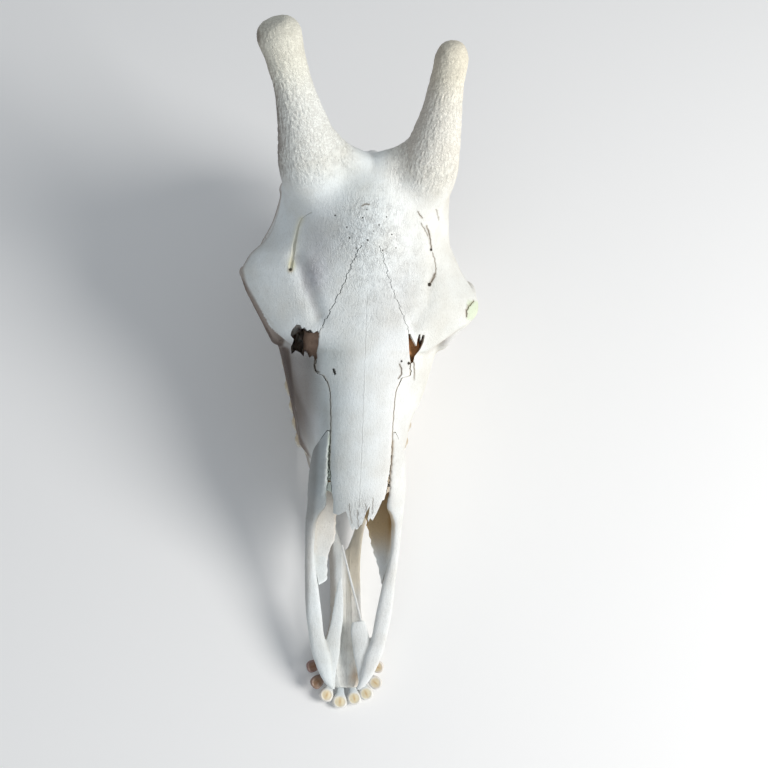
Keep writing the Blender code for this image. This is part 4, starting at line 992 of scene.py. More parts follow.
def roughness_of(points):
    """How rough the skull is at each point, from 0 to 1."""
    rough = np.maximum(0.95 * spot(points, *BOSS_ROUGH),
                       0.36 * spot(points, *ROOF_ROUGH) * (points[:, 2] > -30))
    for horn in (0, 1):
        local, own = horn_reach(points, horn)
        rough = np.maximum(rough, own * (1 - 0.35 * fade(local[:, 2], 70, 105)))
    return np.clip(rough, 0.05, 1)


def mark_skull(body):
    """Notes on the skull where it is rough, which way its grain runs and how deep it is carved."""
    points = points_of(body)
    x, y, z = points.T
    flow = points * (1.0, 0.6, 1.0)
    for horn in (0, 1):
        local, own = horn_reach(points, horn)
        flow = np.where(own[:, None] > 0.02, local * (1, 1, 0.34), flow)
    carve = np.zeros(len(points))
    for path, depth, width in CARVED_LINES:
        carve += depth * bell(from_path(points, path), width)
    carve -= DOME[2] * spot(points, *DOME[:2])
    over = 1.0 * (z > roof(y) - 60)
    carve += 0.35 * over * bell(y - 372 - 0.1 * np.abs(x), 16) * (np.abs(x) > 60)
    store(body, "flow", "FLOAT_VECTOR", flow * MM)
    store(body, "rough", "FLOAT", roughness_of(points))
    store(body, "carve", "FLOAT", carve * MM)


def refined(obj, wanted):
    """Halves the faces of a mesh where its points are wanted."""
    bm = bmesh.new()
    bm.from_mesh(obj.data)
    bm.verts.ensure_lookup_table()
    edges = [edge for edge in bm.edges if all(wanted[end.index] for end in edge.verts)]
    bmesh.ops.subdivide_edges(bm, edges=edges, cuts=1, use_grid_fill=True)
    bm.to_mesh(obj.data)
    bm.free()
    return obj


def thinned(obj, share):
    """Keeps a share of the faces, with the fewest where the surface is even."""
    fewer = obj.modifiers.new("fewer", "DECIMATE")
    fewer.ratio = share
    return evaluated(obj)


def averaged(obj, points, passes, weight):
    """The points, each moved towards the mean of its neighbours again and again."""
    ends = np.empty(len(obj.data.edges) * 2, np.int32)
    obj.data.edges.foreach_get("vertices", ends)
    a, b = ends.reshape(-1, 2).T
    size = len(points)
    count = np.maximum(np.bincount(a, minlength=size) + np.bincount(b, minlength=size), 1)
    soft = points.copy()
    for _ in range(passes):
        mean = np.array([np.bincount(a, soft[b, i], size) + np.bincount(b, soft[a, i], size)
                         for i in range(3)]).T / count[:, None]
        soft += weight * (mean - soft)
    return soft


def hollows(obj, passes):
    """How far each point lies under the mean of its surroundings, in millimetres."""
    points = points_of(obj)
    return ((averaged(obj, points, passes, 0.6) - points) * normals_of(obj)).sum(axis=1)


def softened(obj):
    """Blends the feet of the ossicones into the forehead."""
    points = points_of(obj)
    centre, size, passes = BLEND
    weight = np.clip(1.7 * spot(np.abs(points) * (1, 1, 0), (centre[0], centre[1], 0), size), 0, 1)
    weight = weight * (points[:, 2] > -45) * (1 - fade(points[:, 1], 492, 508))
    points = averaged(obj, points, passes, 0.6 * weight[:, None])
    obj.data.vertices.foreach_set("co", (points * MM).astype(np.float32).ravel())
    obj.data.update()
    return obj


def heights(body, path):
    """Height of the surface over each point of a path, seen from above."""
    points, normals = points_of(body), normals_of(body)
    points = points[normals[:, 2] > 0.15]
    found = []
    for x, y in [p[:2] for p in path]:
        away = np.hypot(points[:, 0] - x, points[:, 1] - y)
        near = away < 2.4
        top = points[near, 2].max()
        near &= points[:, 2] > top - 3
        weight = 1 / (away[near] + 0.15)**2
        found.append(float((points[near, 2] * weight).sum() / weight.sum()))
    return found


def groove_tube(body, path, sink, steps):
    """A rod that lies in the surface along a path of (x, y, radius)."""
    knots = [(x, y, z - sink * radius, radius)
             for (x, y, radius), z in zip(path, heights(body, path))]
    return tube("groove", knots, ROD_SIDES, steps=steps)


def uneven(path, phase):
    """A crack's path with small bends and an uneven width."""
    knots = np.array(path, float)
    run = np.concatenate(([0], np.cumsum(np.linalg.norm(np.diff(knots[:, :2], axis=0), axis=1))))
    made = []
    for s in np.linspace(0, run[-1], max(3, int(run[-1] / 1.5))):
        x, y, radius = [float(np.interp(s, run, knots[:, i])) for i in range(3)]
        wide = radius * (0.72 + 0.22 * math.sin(2.1 * s + phase))
        made.append((x + wiggle(s, 0.5, 5.0, phase), y + wiggle(s, 0.3, 6.3, phase + 1), wide))
    return made


CRACK_LINES = [uneven(crack, i) for i, crack in enumerate(CRACKS)]


def on_line(points, path, width):
    """1 under a line seen from above, fading over a width."""
    path = np.array(path, float)[:, :2]
    flat, reach = points[:, :2], 3 * width
    near = ((flat > path.min(axis=0) - reach) & (flat < path.max(axis=0) + reach)).all(axis=1)
    line = np.c_[path, np.zeros(len(path))]
    seen = np.zeros(len(points))
    seen[near] = bell(from_path(points[near] * (1, 1, 0), line), width)
    return seen


def mark_plain(obj, rough):
    """The same notes for a bone with an even surface."""
    points = points_of(obj)
    store(obj, "flow", "FLOAT_VECTOR", points * (1.0, 0.3, 1.0) * MM)
    store(obj, "rough", "FLOAT", np.full(len(points), rough))
    store(obj, "carve", "FLOAT", np.zeros(len(points)))


def wired(tree, node, inputs):
    """Sets inputs of a node to values, or links them to outputs."""
    for key, value in inputs.items():
        if isinstance(value, bpy.types.NodeSocket):
            tree.links.new(value, node.inputs[key])
        else:
            node.inputs[key].default_value = value
    return node


def added(tree, kind, inputs):
    return wired(tree, tree.nodes.new(kind), inputs)


def node_maths(tree, kind, *values, clamp=False):
    node = tree.nodes.new("ShaderNodeMath")
    node.operation = kind
    node.use_clamp = clamp
    return wired(tree, node, dict(enumerate(values))).outputs[0]


def relief_tree():
    """Nodes that sway, ridge and pit a surface inwards along its normals."""
    tree = bpy.data.node_groups.new("bone relief", "GeometryNodeTree")
    sockets = tree.interface
    sockets.new_socket("Geometry", in_out="OUTPUT", socket_type="NodeSocketGeometry")
    sockets.new_socket("Geometry", in_out="INPUT", socket_type="NodeSocketGeometry")
    for name, value in RELIEF_SIZES:
        socket = sockets.new_socket(name, in_out="INPUT", socket_type="NodeSocketFloat")
        socket.default_value = value
    socket = sockets.new_socket("Seed", in_out="INPUT", socket_type="NodeSocketInt")
    socket.default_value = SEED
    sockets.new_socket("Material", in_out="INPUT", socket_type="NodeSocketMaterial")
    given = tree.nodes.new("NodeGroupInput").outputs

    def maths(kind, *values, clamp=False):
        return node_maths(tree, kind, *values, clamp=clamp)

    def read(name, kind):
        node = tree.nodes.new("GeometryNodeInputNamedAttribute")
        node.data_type = kind
        return wired(tree, node, {"Name": name}).outputs["Attribute"]

    def noise(vector, size):
        node = tree.nodes.new("ShaderNodeTexNoise")
        node.noise_dimensions = "4D"
        return wired(tree, node, {"Vector": vector, "W": given["Seed"], "Detail": 2.0,
                                  "Scale": maths("DIVIDE", 1.0, size)}).outputs[0]

    flow = read("flow", "FLOAT_VECTOR")
    place = tree.nodes.new("GeometryNodeInputPosition").outputs[0]
    sway = maths("SUBTRACT", noise(place, given["Sway size"]), SWAY_MIDDLE)
    sway = maths("MULTIPLY", sway, maths("MULTIPLY", given["Sway depth"], 2.0))
    crest = maths("ABSOLUTE", maths("SUBTRACT", noise(flow, given["Ridge size"]), 0.5))
    ditch = maths("SUBTRACT", 1.0, maths("MULTIPLY", crest, 6.0), clamp=True)
    ditch = maths("MULTIPLY", ditch, given["Ridge depth"])
    cells = added(tree, "ShaderNodeTexVoronoi",
                  {"Vector": flow, "Scale": maths("DIVIDE", 1.0, given["Pit size"])})
    pit = maths("SUBTRACT", 1.0, maths("MULTIPLY", cells.outputs["Distance"], 2.6), clamp=True)
    pit = maths("MULTIPLY", pit, given["Pit depth"])
    down = maths("MULTIPLY", maths("ADD", ditch, pit), read("rough", "FLOAT"))
    down = maths("ADD", down, read("carve", "FLOAT"))
    along = tree.nodes.new("ShaderNodeVectorMath")
    along.operation = "SCALE"
    wired(tree, along, {0: tree.nodes.new("GeometryNodeInputNormal").outputs[0],
                        "Scale": maths("SUBTRACT", sway, down)})
    move = added(tree, "GeometryNodeSetPosition",
                 {"Geometry": given["Geometry"], "Offset": along.outputs[0]})
    real = added(tree, "GeometryNodeRealizeInstances", {0: move.outputs[0]})
    paint = added(tree, "GeometryNodeSetMaterial",
                  {"Geometry": real.outputs[0], "Material": given["Material"]})
    added(tree, "NodeGroupOutput", {0: paint.outputs[0]})
    return tree


RELIEF = relief_tree()


def carved(obj):
    """Runs the relief on a bone and drops the notes that it read."""
    obj.modifiers.new("relief", "NODES").node_group = RELIEF
    evaluated(obj)
    for name in ("flow", "rough", "carve"):
        obj.data.attributes.remove(obj.data.attributes[name])
    obj.data.materials.clear()
    return obj


def nasal_region(side, grow):
    """The space of one nasal bone with uneven seams, wider for what is cut away round it."""
    rings = []
    for y in np.linspace(NASAL_X[0][0], NASAL_X[-1][0], NASAL_STATIONS):
        high = fade(y, 292, 300)
        more = 1.1 * fade(-y, -340, -330) + (1.5 if side < 0 else 0.9) * fade(y, 340, 348)
        more += 1.4 * fade(y, 290, 296) * fade(-y, -322, -316)
        out = float(NASAL_EDGE(y)) + wiggle(y, 0.5 + 0.9 * high, 11, 2.0 + side) + grow * (1 + more)
        out += wiggle(y, 0.25 + 0.25 * high, 3.1, 1.0 + side)
        middle = wiggle(y, 0.35, 17, 1.0) + wiggle(y, 0.12, 3.4, 0.3)
        apart = SUTURE_GAP * (0.06 + 0.3 * fade(-y, -388, -372))
        inner = side * middle + apart - grow
        ring = [inner + (out - inner) * t for t in (0, 0.2, 0.4, 0.6, 0.8, 1)]
        ring = [(x, roof(y) - NASAL_DEPTH - NASAL_CURVE * x * x - grow) for x in ring]
        ring = ring + [(out, NASAL_BLOCK), (inner, NASAL_BLOCK)]
        rings.append([(side * x, y, z) for x, z in ring])
    return loft("nasal_region", rings)


def premaxilla_bar(side, grow):
    """The bar of one premaxilla with a ragged edge next to the nasal bone."""
    out_x, out_z, in_z = curve(PREMAX_OUT_X), curve(PREMAX_OUT_Z), curve(PREMAX_IN_Z)
    half = curve(PREMAX_HALF)
    rings = []
    for i, y in enumerate(np.linspace(PREMAX_FROM, PREMAX_TO, BAR_STATIONS)):
        ends = grow if i == BAR_STATIONS - 1 else -grow if i == 0 else 0
        torn = float(fade(y, 172, 186))
        away = (2.6 if side < 0 else 1.6) * torn * float(fade(-y, -241, -226))
        rag = wiggle(y, 1.0, 7.5, 3.0 * side) + wiggle(y, 0.7, 3.3, 1.0 + side)
        a = Vector((PREMAX_INNER(y) + away, in_z(y)))
        b = Vector((out_x(y), out_z(y)))
        middle, reach = (a + b) / 2, (b - a) / 2
        across = reach.normalized()
        up = Vector((-across.y, across.x))
        ring = []
        for j in range(BAR_SIDES):
            c, s = squared(j + 0.5, BAR_SIDES, 0.8, 0.8)
            p = middle + across * c * (reach.length + grow) + up * s * (half(y) + grow)
            ring.append((side * (p.x + torn * rag * max(0.0, -c)**3), y + ends, p.y))
        rings.append(ring)
    return loft("bar", rings)


def cheek_tooth(place, length, width, top, low, upper):
    """A cheek tooth of two lobes with ribs on its outer face and crescents on its bite."""
    x, lateral, turn = place
    outward = math.copysign(1.0, lateral)
    rings = []

    def ring_at(level, scale, lift, ribs):
        ring = []
        for j in range(TOOTH_SIDES):
            c, s = squared(j + 0.5, TOOTH_SIDES, 0.62, 0.62)
            lobe = math.cos(2 * math.pi * c)
            out = s * outward > 0
            dent = (0.09 * lobe if upper == out else -0.12 * lobe) * abs(s) * ribs
            along = c * length / 2 * scale
            across = s * width / 2 * (scale + dent)
            height = level + lift * (0.5 - 0.5 * lobe)
            place_x = x + along * math.cos(turn) - across * math.sin(turn)
            place_side = lateral + along * math.sin(turn) + across * math.cos(turn)
            y, z = from_palate(place_x, height)
            ring.append((place_side, y, z))
        return ring

    bite = math.copysign(1.0, top - low)
    for i in range(TOOTH_LEVELS):
        t = i / (TOOTH_LEVELS - 1)
        scale = 0.82 + 0.16 * math.sin(math.pi * min(1.0, 0.25 + 0.75 * t))
        root = ROOT_NARROW + (1 - ROOT_NARROW) * min(1.0, 1.6 * t)
        rings.append(ring_at(low + (top - low) * t, scale * root * (0.99 if t < 1 else 0.93), 0.0,
                             0.4 + 0.8 * t))
    for scale, lift in ((0.84, 1.0), (0.66, -1.6), (0.42, 0.4), (0.22, -1.4)):
        rings.append(ring_at(top + bite * min(lift, 0.0), scale, bite * max(lift, 0.0), 0.6))
    return loft("tooth", rings)


def cheek_teeth(side, teeth, start, row, top, low, upper):
    middle = curve(row)
    made = []
    x = start
    for length, width in teeth:
        at = x + length / 2
        turn = math.atan2(middle(at + 5) - middle(at - 5), 10)
        place = (at, side * float(middle(at)), side * turn)
        made.append(cheek_tooth(place, length - TOOTH_SPACE, width, top, low, upper))
        x += length
    return made


# Width and thickness of a front tooth from its tip (0) to its root (1), the levels between them,
# the middle and reach of its worn hollow, and the strength and colour of each tooth's darkening:
# a stain, and painted shade on the third and fourth tooth of the right.
CROWN_WIDE = curve(((0, 0.3), (0.015, 0.52), (0.05, 0.76), (0.12, 0.95), (0.2, 1.0), (0.28, 0.98),
                    (0.38, 0.84), (0.48, 0.62), (0.58, 0.5), (0.8, 0.4), (1.0, 0.2)))
CROWN_THICK = curve(((0, 0.2), (0.015, 0.38), (0.05, 0.6), (0.12, 0.8), (0.3, 1.0), (0.45, 0.85),
                     (0.56, 0.55), (0.7, 0.3), (1.0, 0.2)))
CROWN_AT = (
    0, 0.006, 0.015, 0.03, 0.05, 0.08, 0.11, 0.145, 0.18, 0.215, 0.25, 0.285, 0.32, 0.36, 0.4,
    0.45, 0.5, 0.56, 0.64, 0.78, 1.0)
WORN_AT, WORN_LONG, WORN_WIDE = 0.205, 0.175, 0.76
STAIN_LEFT = ((0.0, 1, 1, 1), (0.0, 1, 1, 1), (0.15, 0.7, 0.5, 0.4), (0.3, 0.7, 0.5, 0.4))
STAIN_AND_SHADE_RIGHT = (
    (0.0, 1, 1, 1), (0.1, 0.7, 0.5, 0.4), (1.0, 0.34, 0.23, 0.19), (1.0, 0.34, 0.22, 0.21))


def incisor(side, place):
    """A front tooth: a narrow peg that widens to a rounded crown with a worn hollow on top."""
    across, along, top, width, turn = place
    heading = math.radians(turn) * side
    ahead = Vector((math.sin(heading), -math.cos(heading), 0))
    flat = Vector((math.cos(heading), math.sin(heading), 0))
    rise = Vector((0, 0, 1))
    tip = Vector((side * across, along, top))
    axis = (ahead * math.cos(INCISOR_RISE) + rise * math.sin(INCISOR_RISE)).normalized()
    normal = flat.cross(axis).normalized()
    if normal.z < 0:
        normal.negate()
    rings, hollow, line, neck = [], [], [], []
    for t in CROWN_AT:
        centre = tip - axis * (t * INCISOR_LENGTH - INCISOR_AHEAD)
        wide, thick = float(CROWN_WIDE(t)), float(CROWN_THICK(t))
        ring = []
        for j in range(CROWN_SIDES):
            c, s = squared(j, CROWN_SIDES, 0.85, 0.75)
            out = math.hypot((t - WORN_AT) / WORN_LONG, c * wide / WORN_WIDE)
            sunk = float(fade(-out, -1.12, -0.8)) * (s > 0.1)
            height = s * INCISOR_THICK / 2 * thick - 1.0 * sunk
            ring.append(tuple(centre + flat * c * width / 2 * wide + normal * height))
            hollow.append(sunk)
            line.append(sunk * bell(c, 0.16) * bell(t - WORN_AT, 0.11))
            neck.append(float(fade(t, 0.34, 0.46)))
        rings.append(ring)
    obj = loft("incisor", rings)
    store(obj, "worn", "FLOAT_VECTOR", np.array((hollow, line, neck)).T)
    return obj


def scroll(side, line):
    """A thin curled plate of bone under one of the gaps."""
    rings = []
    for i, y in enumerate(np.linspace(SCROLL_FROM, SCROLL_TO, SCROLL_STATIONS)):
        bow = 1.2 * math.sin(i * 0.9 + side)
        half = half_line([(x + bow * 0.4, z + bow) for x, z in line], SCROLL_RING)
        back = [(x - SCROLL_THICK * side, z - 0.6) for x, z in reversed(half)]
        rings.append([(x, y, z) for x, z in half + back])
    return loft("scroll", rings)


def rest(obj, lower):
    """Bows the front of a bone a little to the right and lays it where it rests."""
    points = points_of(obj)
    if lower:
        points[:, 0] += curve(JAW_LEAN)(points[:, 1])
    else:
        points[:, 0] += BEND_AT_TIP * (np.clip(1 - points[:, 1] / BEND_FROM, 0, None))**BEND_POWER
    obj.data.vertices.foreach_set("co", (points * MM).astype(np.float32).ravel())
    obj.data.transform(REST)
    obj.data.update()
    return obj


REST = Matrix.Translation(REST_SHIFT) @ Matrix.Rotation(REST_RISE, 4, "X")


def new_material(name, inputs):
    made = bpy.data.materials.new(name)
    made.use_nodes = True
    wired(made.node_tree, made.node_tree.nodes["Principled BSDF"], inputs)
    return made


def cloud(tree, vector, scale, detail, rough):
    return added(tree, "ShaderNodeTexNoise", {"Vector": vector, "Scale": scale, "Detail": detail,
                                              "Roughness": rough}).outputs[0]


def ramp(tree, value, *stops):
    node = added(tree, "ShaderNodeValToRGB", {0: value})
    for element, (at, colour) in zip(node.color_ramp.elements, stops):
        element.position = at
        element.color = (*colour, 1)
    return node.outputs[0]


def multiplied(tree, amount, first, second):
    node = tree.nodes.new("ShaderNodeMix")
    node.data_type = "RGBA"
    node.blend_type = "MULTIPLY"
    return wired(tree, node, {0: amount, 6: first, 7: second}).outputs[2]


def tint_note(tree):
    """The mesh's own tint, with its roughness as alpha."""
    node = tree.nodes.new("ShaderNodeAttribute")
    node.attribute_name = "tint"
    return node.outputs


def bone_material(name, light=BONE_LIGHT, dull=BONE_DULL, roughness=0.6, grain=(1.0, 0.4, 1.0),
                  bump=0.65, turn=(REST_RISE, 0, 0), even=None):
    """Dry bone, tinted by the mesh's own notes and scratched and pitted where they ask for it."""
    made = new_material(name, {"Roughness": roughness, "Specular IOR Level": 0.35})
    tree = made.node_tree
    lay = tree.nodes.new("ShaderNodeMapping")
    lay.vector_type = "TEXTURE"
    place = tree.nodes.new("ShaderNodeTexCoord").outputs["Object"]
    plain = wired(tree, lay, {"Rotation": turn, "Vector": place}).outputs[0]
    grained = added(tree, "ShaderNodeMapping", {"Scale": grain, "Vector": plain}).outputs[0]

    def maths(kind, *values, clamp=False):
        return node_maths(tree, kind, *values, clamp=clamp)

    def lines(value, width):
        away = maths("ABSOLUTE", maths("SUBTRACT", value, 0.5))
        return maths("SUBTRACT", 1.0, maths("DIVIDE", away, width), clamp=True)

    tint = tint_note(tree)
    worn = tint["Alpha"]
    colour = ramp(tree, cloud(tree, plain, 34, 5, 0.55), (0.36, light), (0.74, dull))
    flecks = ramp(tree, cloud(tree, grained, 900, 3, 0.7), (0.30, FLECK), (0.46, WHITE))
    colour = multiplied(tree, 0.5, colour, flecks)
    colour = multiplied(tree, 1.0, colour, tint["Color"])
    patch = even
    if even is None:
        patch = maths("SUBTRACT", cloud(tree, plain, 120, 2, 0.55), 0.34)
        patch = maths("MULTIPLY", patch, 4.0, clamp=True)
    scratch = lines(cloud(tree, grained, 330, 3, 0.6), 0.05)
    wrinkle = lines(cloud(tree, grained, 170, 3, 0.65), 0.045)
    cells = added(tree, "ShaderNodeTexVoronoi", {"Scale": 380, "Vector": grained})
    pit = maths("SUBTRACT", 1.0, maths("DIVIDE", cells.outputs["Distance"], 0.3), clamp=True)
    dent = maths("MAXIMUM", maths("MAXIMUM", scratch, wrinkle), maths("MULTIPLY", pit, 0.9))
    dent = maths("MULTIPLY", maths("MULTIPLY", dent, patch), worn)
    colour = multiplied(tree, maths("MULTIPLY", dent, 0.6, clamp=True), colour, (*DENT, 1))
    grains = maths("MULTIPLY", cloud(tree, plain, 900, 3, 0.6), maths("ADD", 0.25, worn))
    fine = maths("MULTIPLY", cloud(tree, grained, 520, 4, 0.65), maths("ADD", 0.3, worn))
    height = maths("SUBTRACT", maths("ADD", fine, grains), dent)
    bumped = added(tree, "ShaderNodeBump", {"Strength": bump, "Distance": BUMP_REACH,
                                            "Height": height})
    wired(tree, tree.nodes["Principled BSDF"],
          {"Base Color": colour, "Normal": bumped.outputs[0]})
    return made


def tooth_material(name):
    """Smooth enamel and dentine, tinted by the mesh's own notes."""
    made = new_material(name, {"Roughness": 0.34})
    tree = made.node_tree
    place = tree.nodes.new("ShaderNodeTexCoord").outputs["Object"]
    shade = ramp(tree, cloud(tree, place, 240, 4, 0.5), (0.3, TOOTH_CLOUD), (0.7, WHITE))
    colour = multiplied(tree, 1.0, shade, tint_note(tree)["Color"])
    wired(tree, tree.nodes["Principled BSDF"], {"Base Color": colour})
    return made


def stained(shades, layers):
    """Mixes each layer's colour into the shades, by its amount at each point."""
    for colour, amount in layers:
        amount = np.clip(amount, 0, 1)[:, None]
        shades = shades * (1 - amount) + shades * np.array(colour) * amount
    return shades


def write_tint(obj, shades=1.0, rough=0.1):
    """Stores the tint of each point, and its roughness beside it."""
    layer = obj.data.color_attributes.new("tint", "FLOAT_COLOR", "POINT")
    full = np.ones((len(obj.data.vertices), 4), np.float32)
    full[:, :3] = shades
    full[:, 3] = rough
    layer.data.foreach_set("color", full.ravel())


CAVITY_READS = [curve(k) for k in (CAVITY_TOP_X, CAVITY_TOP_Z, CAVITY_SIDE_X, CAVITY_SIDE_Z,
                                   CAVITY_FLOOR_X, CAVITY_FLOOR_Z)]


def in_cavity(points):
    """1 on the walls inside the snout."""
    x, y, z = points.T
    top_x, top_z, side_x, side_z, floor_x, floor_z = [read(y) for read in CAVITY_READS]
    crown = roof(y) - CAVITY_ROOF
    upper = np.clip((crown - z) / (crown - top_z), 0, 1) * top_x
    middle = top_x + (side_x - top_x) * np.clip((top_z - z) / (top_z - side_z), 0, 1)
    lower = side_x + (floor_x - side_x) * np.clip((side_z - z) / (side_z - floor_z), 0, 1)
    wide = np.where(z > top_z, upper, np.where(z > side_z, middle, lower))
    inside = (np.abs(x) < wide + 1.2) & (z < crown + 0.6) & (z > floor_z - 1.2)
    return inside & (y > CAVITY_FROM) & (y < CAVITY_TO + 1.5)


def hollow_shade_edge_light(obj, shades):
    """Darkens the hollows of a bone with dirt and painted shade, and lightens its edges with a
    painted highlight.
    """
    low = hollows(obj, 10) * (1 - 0.9 * roughness_of(points_of(obj)))
    return stained(shades, (((0.72, 0.67, 0.60), 0.6 * np.clip(low / 0.7, 0, 1)),
                            ((1.07, 1.07, 1.07), -low / 0.5)))


def face_shade_and_stains(points, normals, bar):
    """Painted shade of the face, grey and brown on the right with the brown partly stain, a painted
    highlight on the boss, and dark seams.
    """
    x, y, z = points.T
    facing = -normals[:, 2]
    before = fade(-y, -525, -490)
    # Painted shade with some dirt on faces that turn sideways or down.
    shaded_flank = fade(facing, -0.6, 0.1) * fade(y, 190, 235) * before
    # Painted shade in grey on the sloping faces of the right side.
    grey = fade(facing, -0.95, -0.6) * fade(-x, 24, 50) * fade(y, 215, 260) * before
    # Painted shade with brown stain on the lower sides of the right.
    brown = fade(facing, -0.72, -0.2) * fade(-z, 34, 50) * fade(-x, 44, 62) * before
    # Painted shade with brown stain over the right cheek.
    cheek = fade(-x, 36, 54) * fade(y, 205, 245) * fade(-y, -345, -310) * (z > -100)
    # Painted shade on the right slope of the nasal bones.
    nose_shade = fade(-x, 6, 32) * fade(-y, -345, -320) * fade(facing, -1.0, -0.97)
    rim = bell(np.abs(x) - PREMAX_INNER(y) - 1.5, 1.6) * fade(y, 168, 186)
    seam = np.abs(x) - NASAL_EDGE(y)
    beside = 0.7 * fade(y, 205, 225) * fade(-y, -350, -335) * (z > -32)
    layers = [((0.86, 0.80, 0.72), 0.6 * shaded_flank * fade(x, 10, 45)),
              ((0.84, 0.83, 0.84), grey * fade(-y, -345, -325)),
              ((0.50, 0.43, 0.39), brown * fade(y, 225, 260)),
              ((0.50, 0.455, 0.43), cheek),
              ((0.76, 0.785, 0.79), nose_shade * fade(z, -34, -16)),
              # Painted shade on the outer side of the right premaxilla, and a painted highlight
              # along its inner edge.
              ((0.68, 0.69, 0.70), bar * fade(-x, 26, 43) * fade(y, 105, 175)),
              ((1.3, 1.29, 1.24), 0.8 * bar * rim),
              ((1.12, 1.11, 1.08), beside * bell(seam - 1.9, 1.2) * (x < 0)),
              ((0.76, 0.64, 0.50), beside * bell(seam - 0.2, 0.7)),
              # More painted shade on the outer edge of the right premaxilla at its front.
              ((0.70, 0.67, 0.65), bar * fade(-x, 38, 43) * fade(y, 40, 80)),
              # A painted highlight on the lit side of the boss.
              ((1.15, 1.16, 1.16), 1.6 * spot(points, (14, 446, 10), (46, 60, 60)))]
    # Painted shade with some stain along the brown bands.
    layers += [((0.42, 0.34, 0.30), fade(on_line(points, band, 6.0), 0.31, 0.71) * (z < -38))
               for band in SHADE_AND_STAIN_BANDS]
    # Cool painted shade on the right half, warm painted light on the left, and painted shade on the
    # right flank of the boss.
    return layers + [((0.955, 0.985, 1.0), fade(-x, -30, 10) * (z > -60)),
                     ((1.0, 0.99, 0.955), fade(x, 30, 70)),
                     ((0.70, 0.695, 0.715), 0.9 * spot(points, (-48, 424, 0), (22, 42, 40)))]


def horn_stains_and_shade(points, normals):
    """How much each point belongs to an ossicone, and the stains and painted shade there."""
    feet, layers = np.zeros(len(points)), []
    for horn in (0, 1):
        local, own = horn_reach(points, horn)
        feet = np.maximum(feet, own)
        layers += [((1.0, 0.96, 0.84), 0.6 * own * fade(local[:, 2], 45, 95)),
                   ((1.02, 1.0, 0.95), 0.6 * own),
                   # Painted shade on the sides of the ossicones that face the skull's right,
                   # darkest on the right ossicone.
                   ((0.60, 0.56, 0.54), 0.8 * own * fade(-normals[:, 0], 0.45, 0.95)),
                   ((0.55, 0.51, 0.49), own * fade(-normals[:, 0], 0.8, 0.97) * (horn == 0)),
                   ((0.90, 0.89, 0.88), own * fade(local[:, 2], 78, 104))]
    return feet, layers


def inner_stains_and_shade(points, normals):
    """Brown and amber inside the snout and on the shelves of the palate, and painted shade deep in
    the snout.
    """
    x, y, z = points.T
    inner = in_cavity(points).astype(float)
    deep = inner * fade(y, 200, 300)
    toward = -np.sign(x) * normals[:, 0]
    front = (y > 95) * fade(-y, -222, -196)
    wall = fade(toward, 0.1, 0.6) * front * (z < -30) * (np.abs(x) > 12)
    palate = front * fade(-z, 44, 50) * (np.abs(x) > 5)
    palate = palate * fade(np.maximum(toward, normals[:, 2]), 0.15, 0.45)
    return [((0.70, 0.52, 0.38), inner),
            # Painted shade over the brown deep inside the snout.
            ((0.18, 0.07, 0.05), deep * fade(-x, -38, 60)),
            ((0.40, 0.24, 0.14), deep * fade(x, 10, 40)),
            ((0.78, 0.62, 0.44), wall * fade(y, 125, 165) * np.where(x > 0, 1.0, 0.4)),
            ((0.93, 0.70, 0.42), palate * fade(y, 112, 150) * np.where(x > 0, 1.0, 0.1))]


def mark_stains_and_shade(points, brush):
    """Stains at the grooves, cracks and recesses, and painted shade in the cracks, holes, hollows
    and orbits.
    """
    x, y, z = points.T
    layers = [((1.0, 0.96, 0.84), on_line(points, GROOVE_RIGHT[2:], 3.2) * (z > -20)),
              ((0.90, 0.86, 0.56), 0.9 * spot(points, (-72.5, 406, -11), (5, 7, 7))),
              # Painted shade in the hole at the groove's end.
              ((0.45, 0.34, 0.22), spot(points, (-73.6, 400.5, -13), (3.2, 3.2, 4)))]
    # Dirt and painted shade along each crack.
    for line in CRACK_LINES:
        wide = max(knot[2] for knot in line)
        seen = min(0.85, 1.4 * wide) * on_line(points, line, 0.95 * wide)
        layers.append(((0.38, 0.31, 0.25), seen * (z > -60)))
    # Painted shade in and round each small hole.
    for hole_x, hole_y, radius in HOLES:
        seen = bell(np.hypot(x - hole_x, y - hole_y), 0.95 * radius)
        layers.append(((0.30, 0.25, 0.21), 0.8 * seen * (z > -60)))
    flake = fade(x, 101, 103) * fade(y, 358, 361) * fade(-y, -380, -377) * fade(z, -56, -50)
    # Painted shade in the orbits.
    orbits = sum(spot(points, (at, 374, -79), (44, 34, 34)) for at in (90, -90))
    return layers + [((0.98, 1.0, 0.88), on_line(points, RECESS_RIGHT, 2.6) * (z < -10.5)),
                     ((0.62, 0.50, 0.38), on_line(points, RECESS_LEFT, 2.2) * (z < -10.5)),
                     ((0.80, 0.76, 0.80), 0.8 * brush),
                     # Painted shade in the hollow before the left orbit.
                     ((0.78, 0.76, 0.80), 0.9 * bell(from_path(points, HOLLOW_LEFT), 7)),
                     ((0.87, 0.95, 0.78), flake),
                     ((0.66, 0.60, 0.55), 0.9 * orbits)]


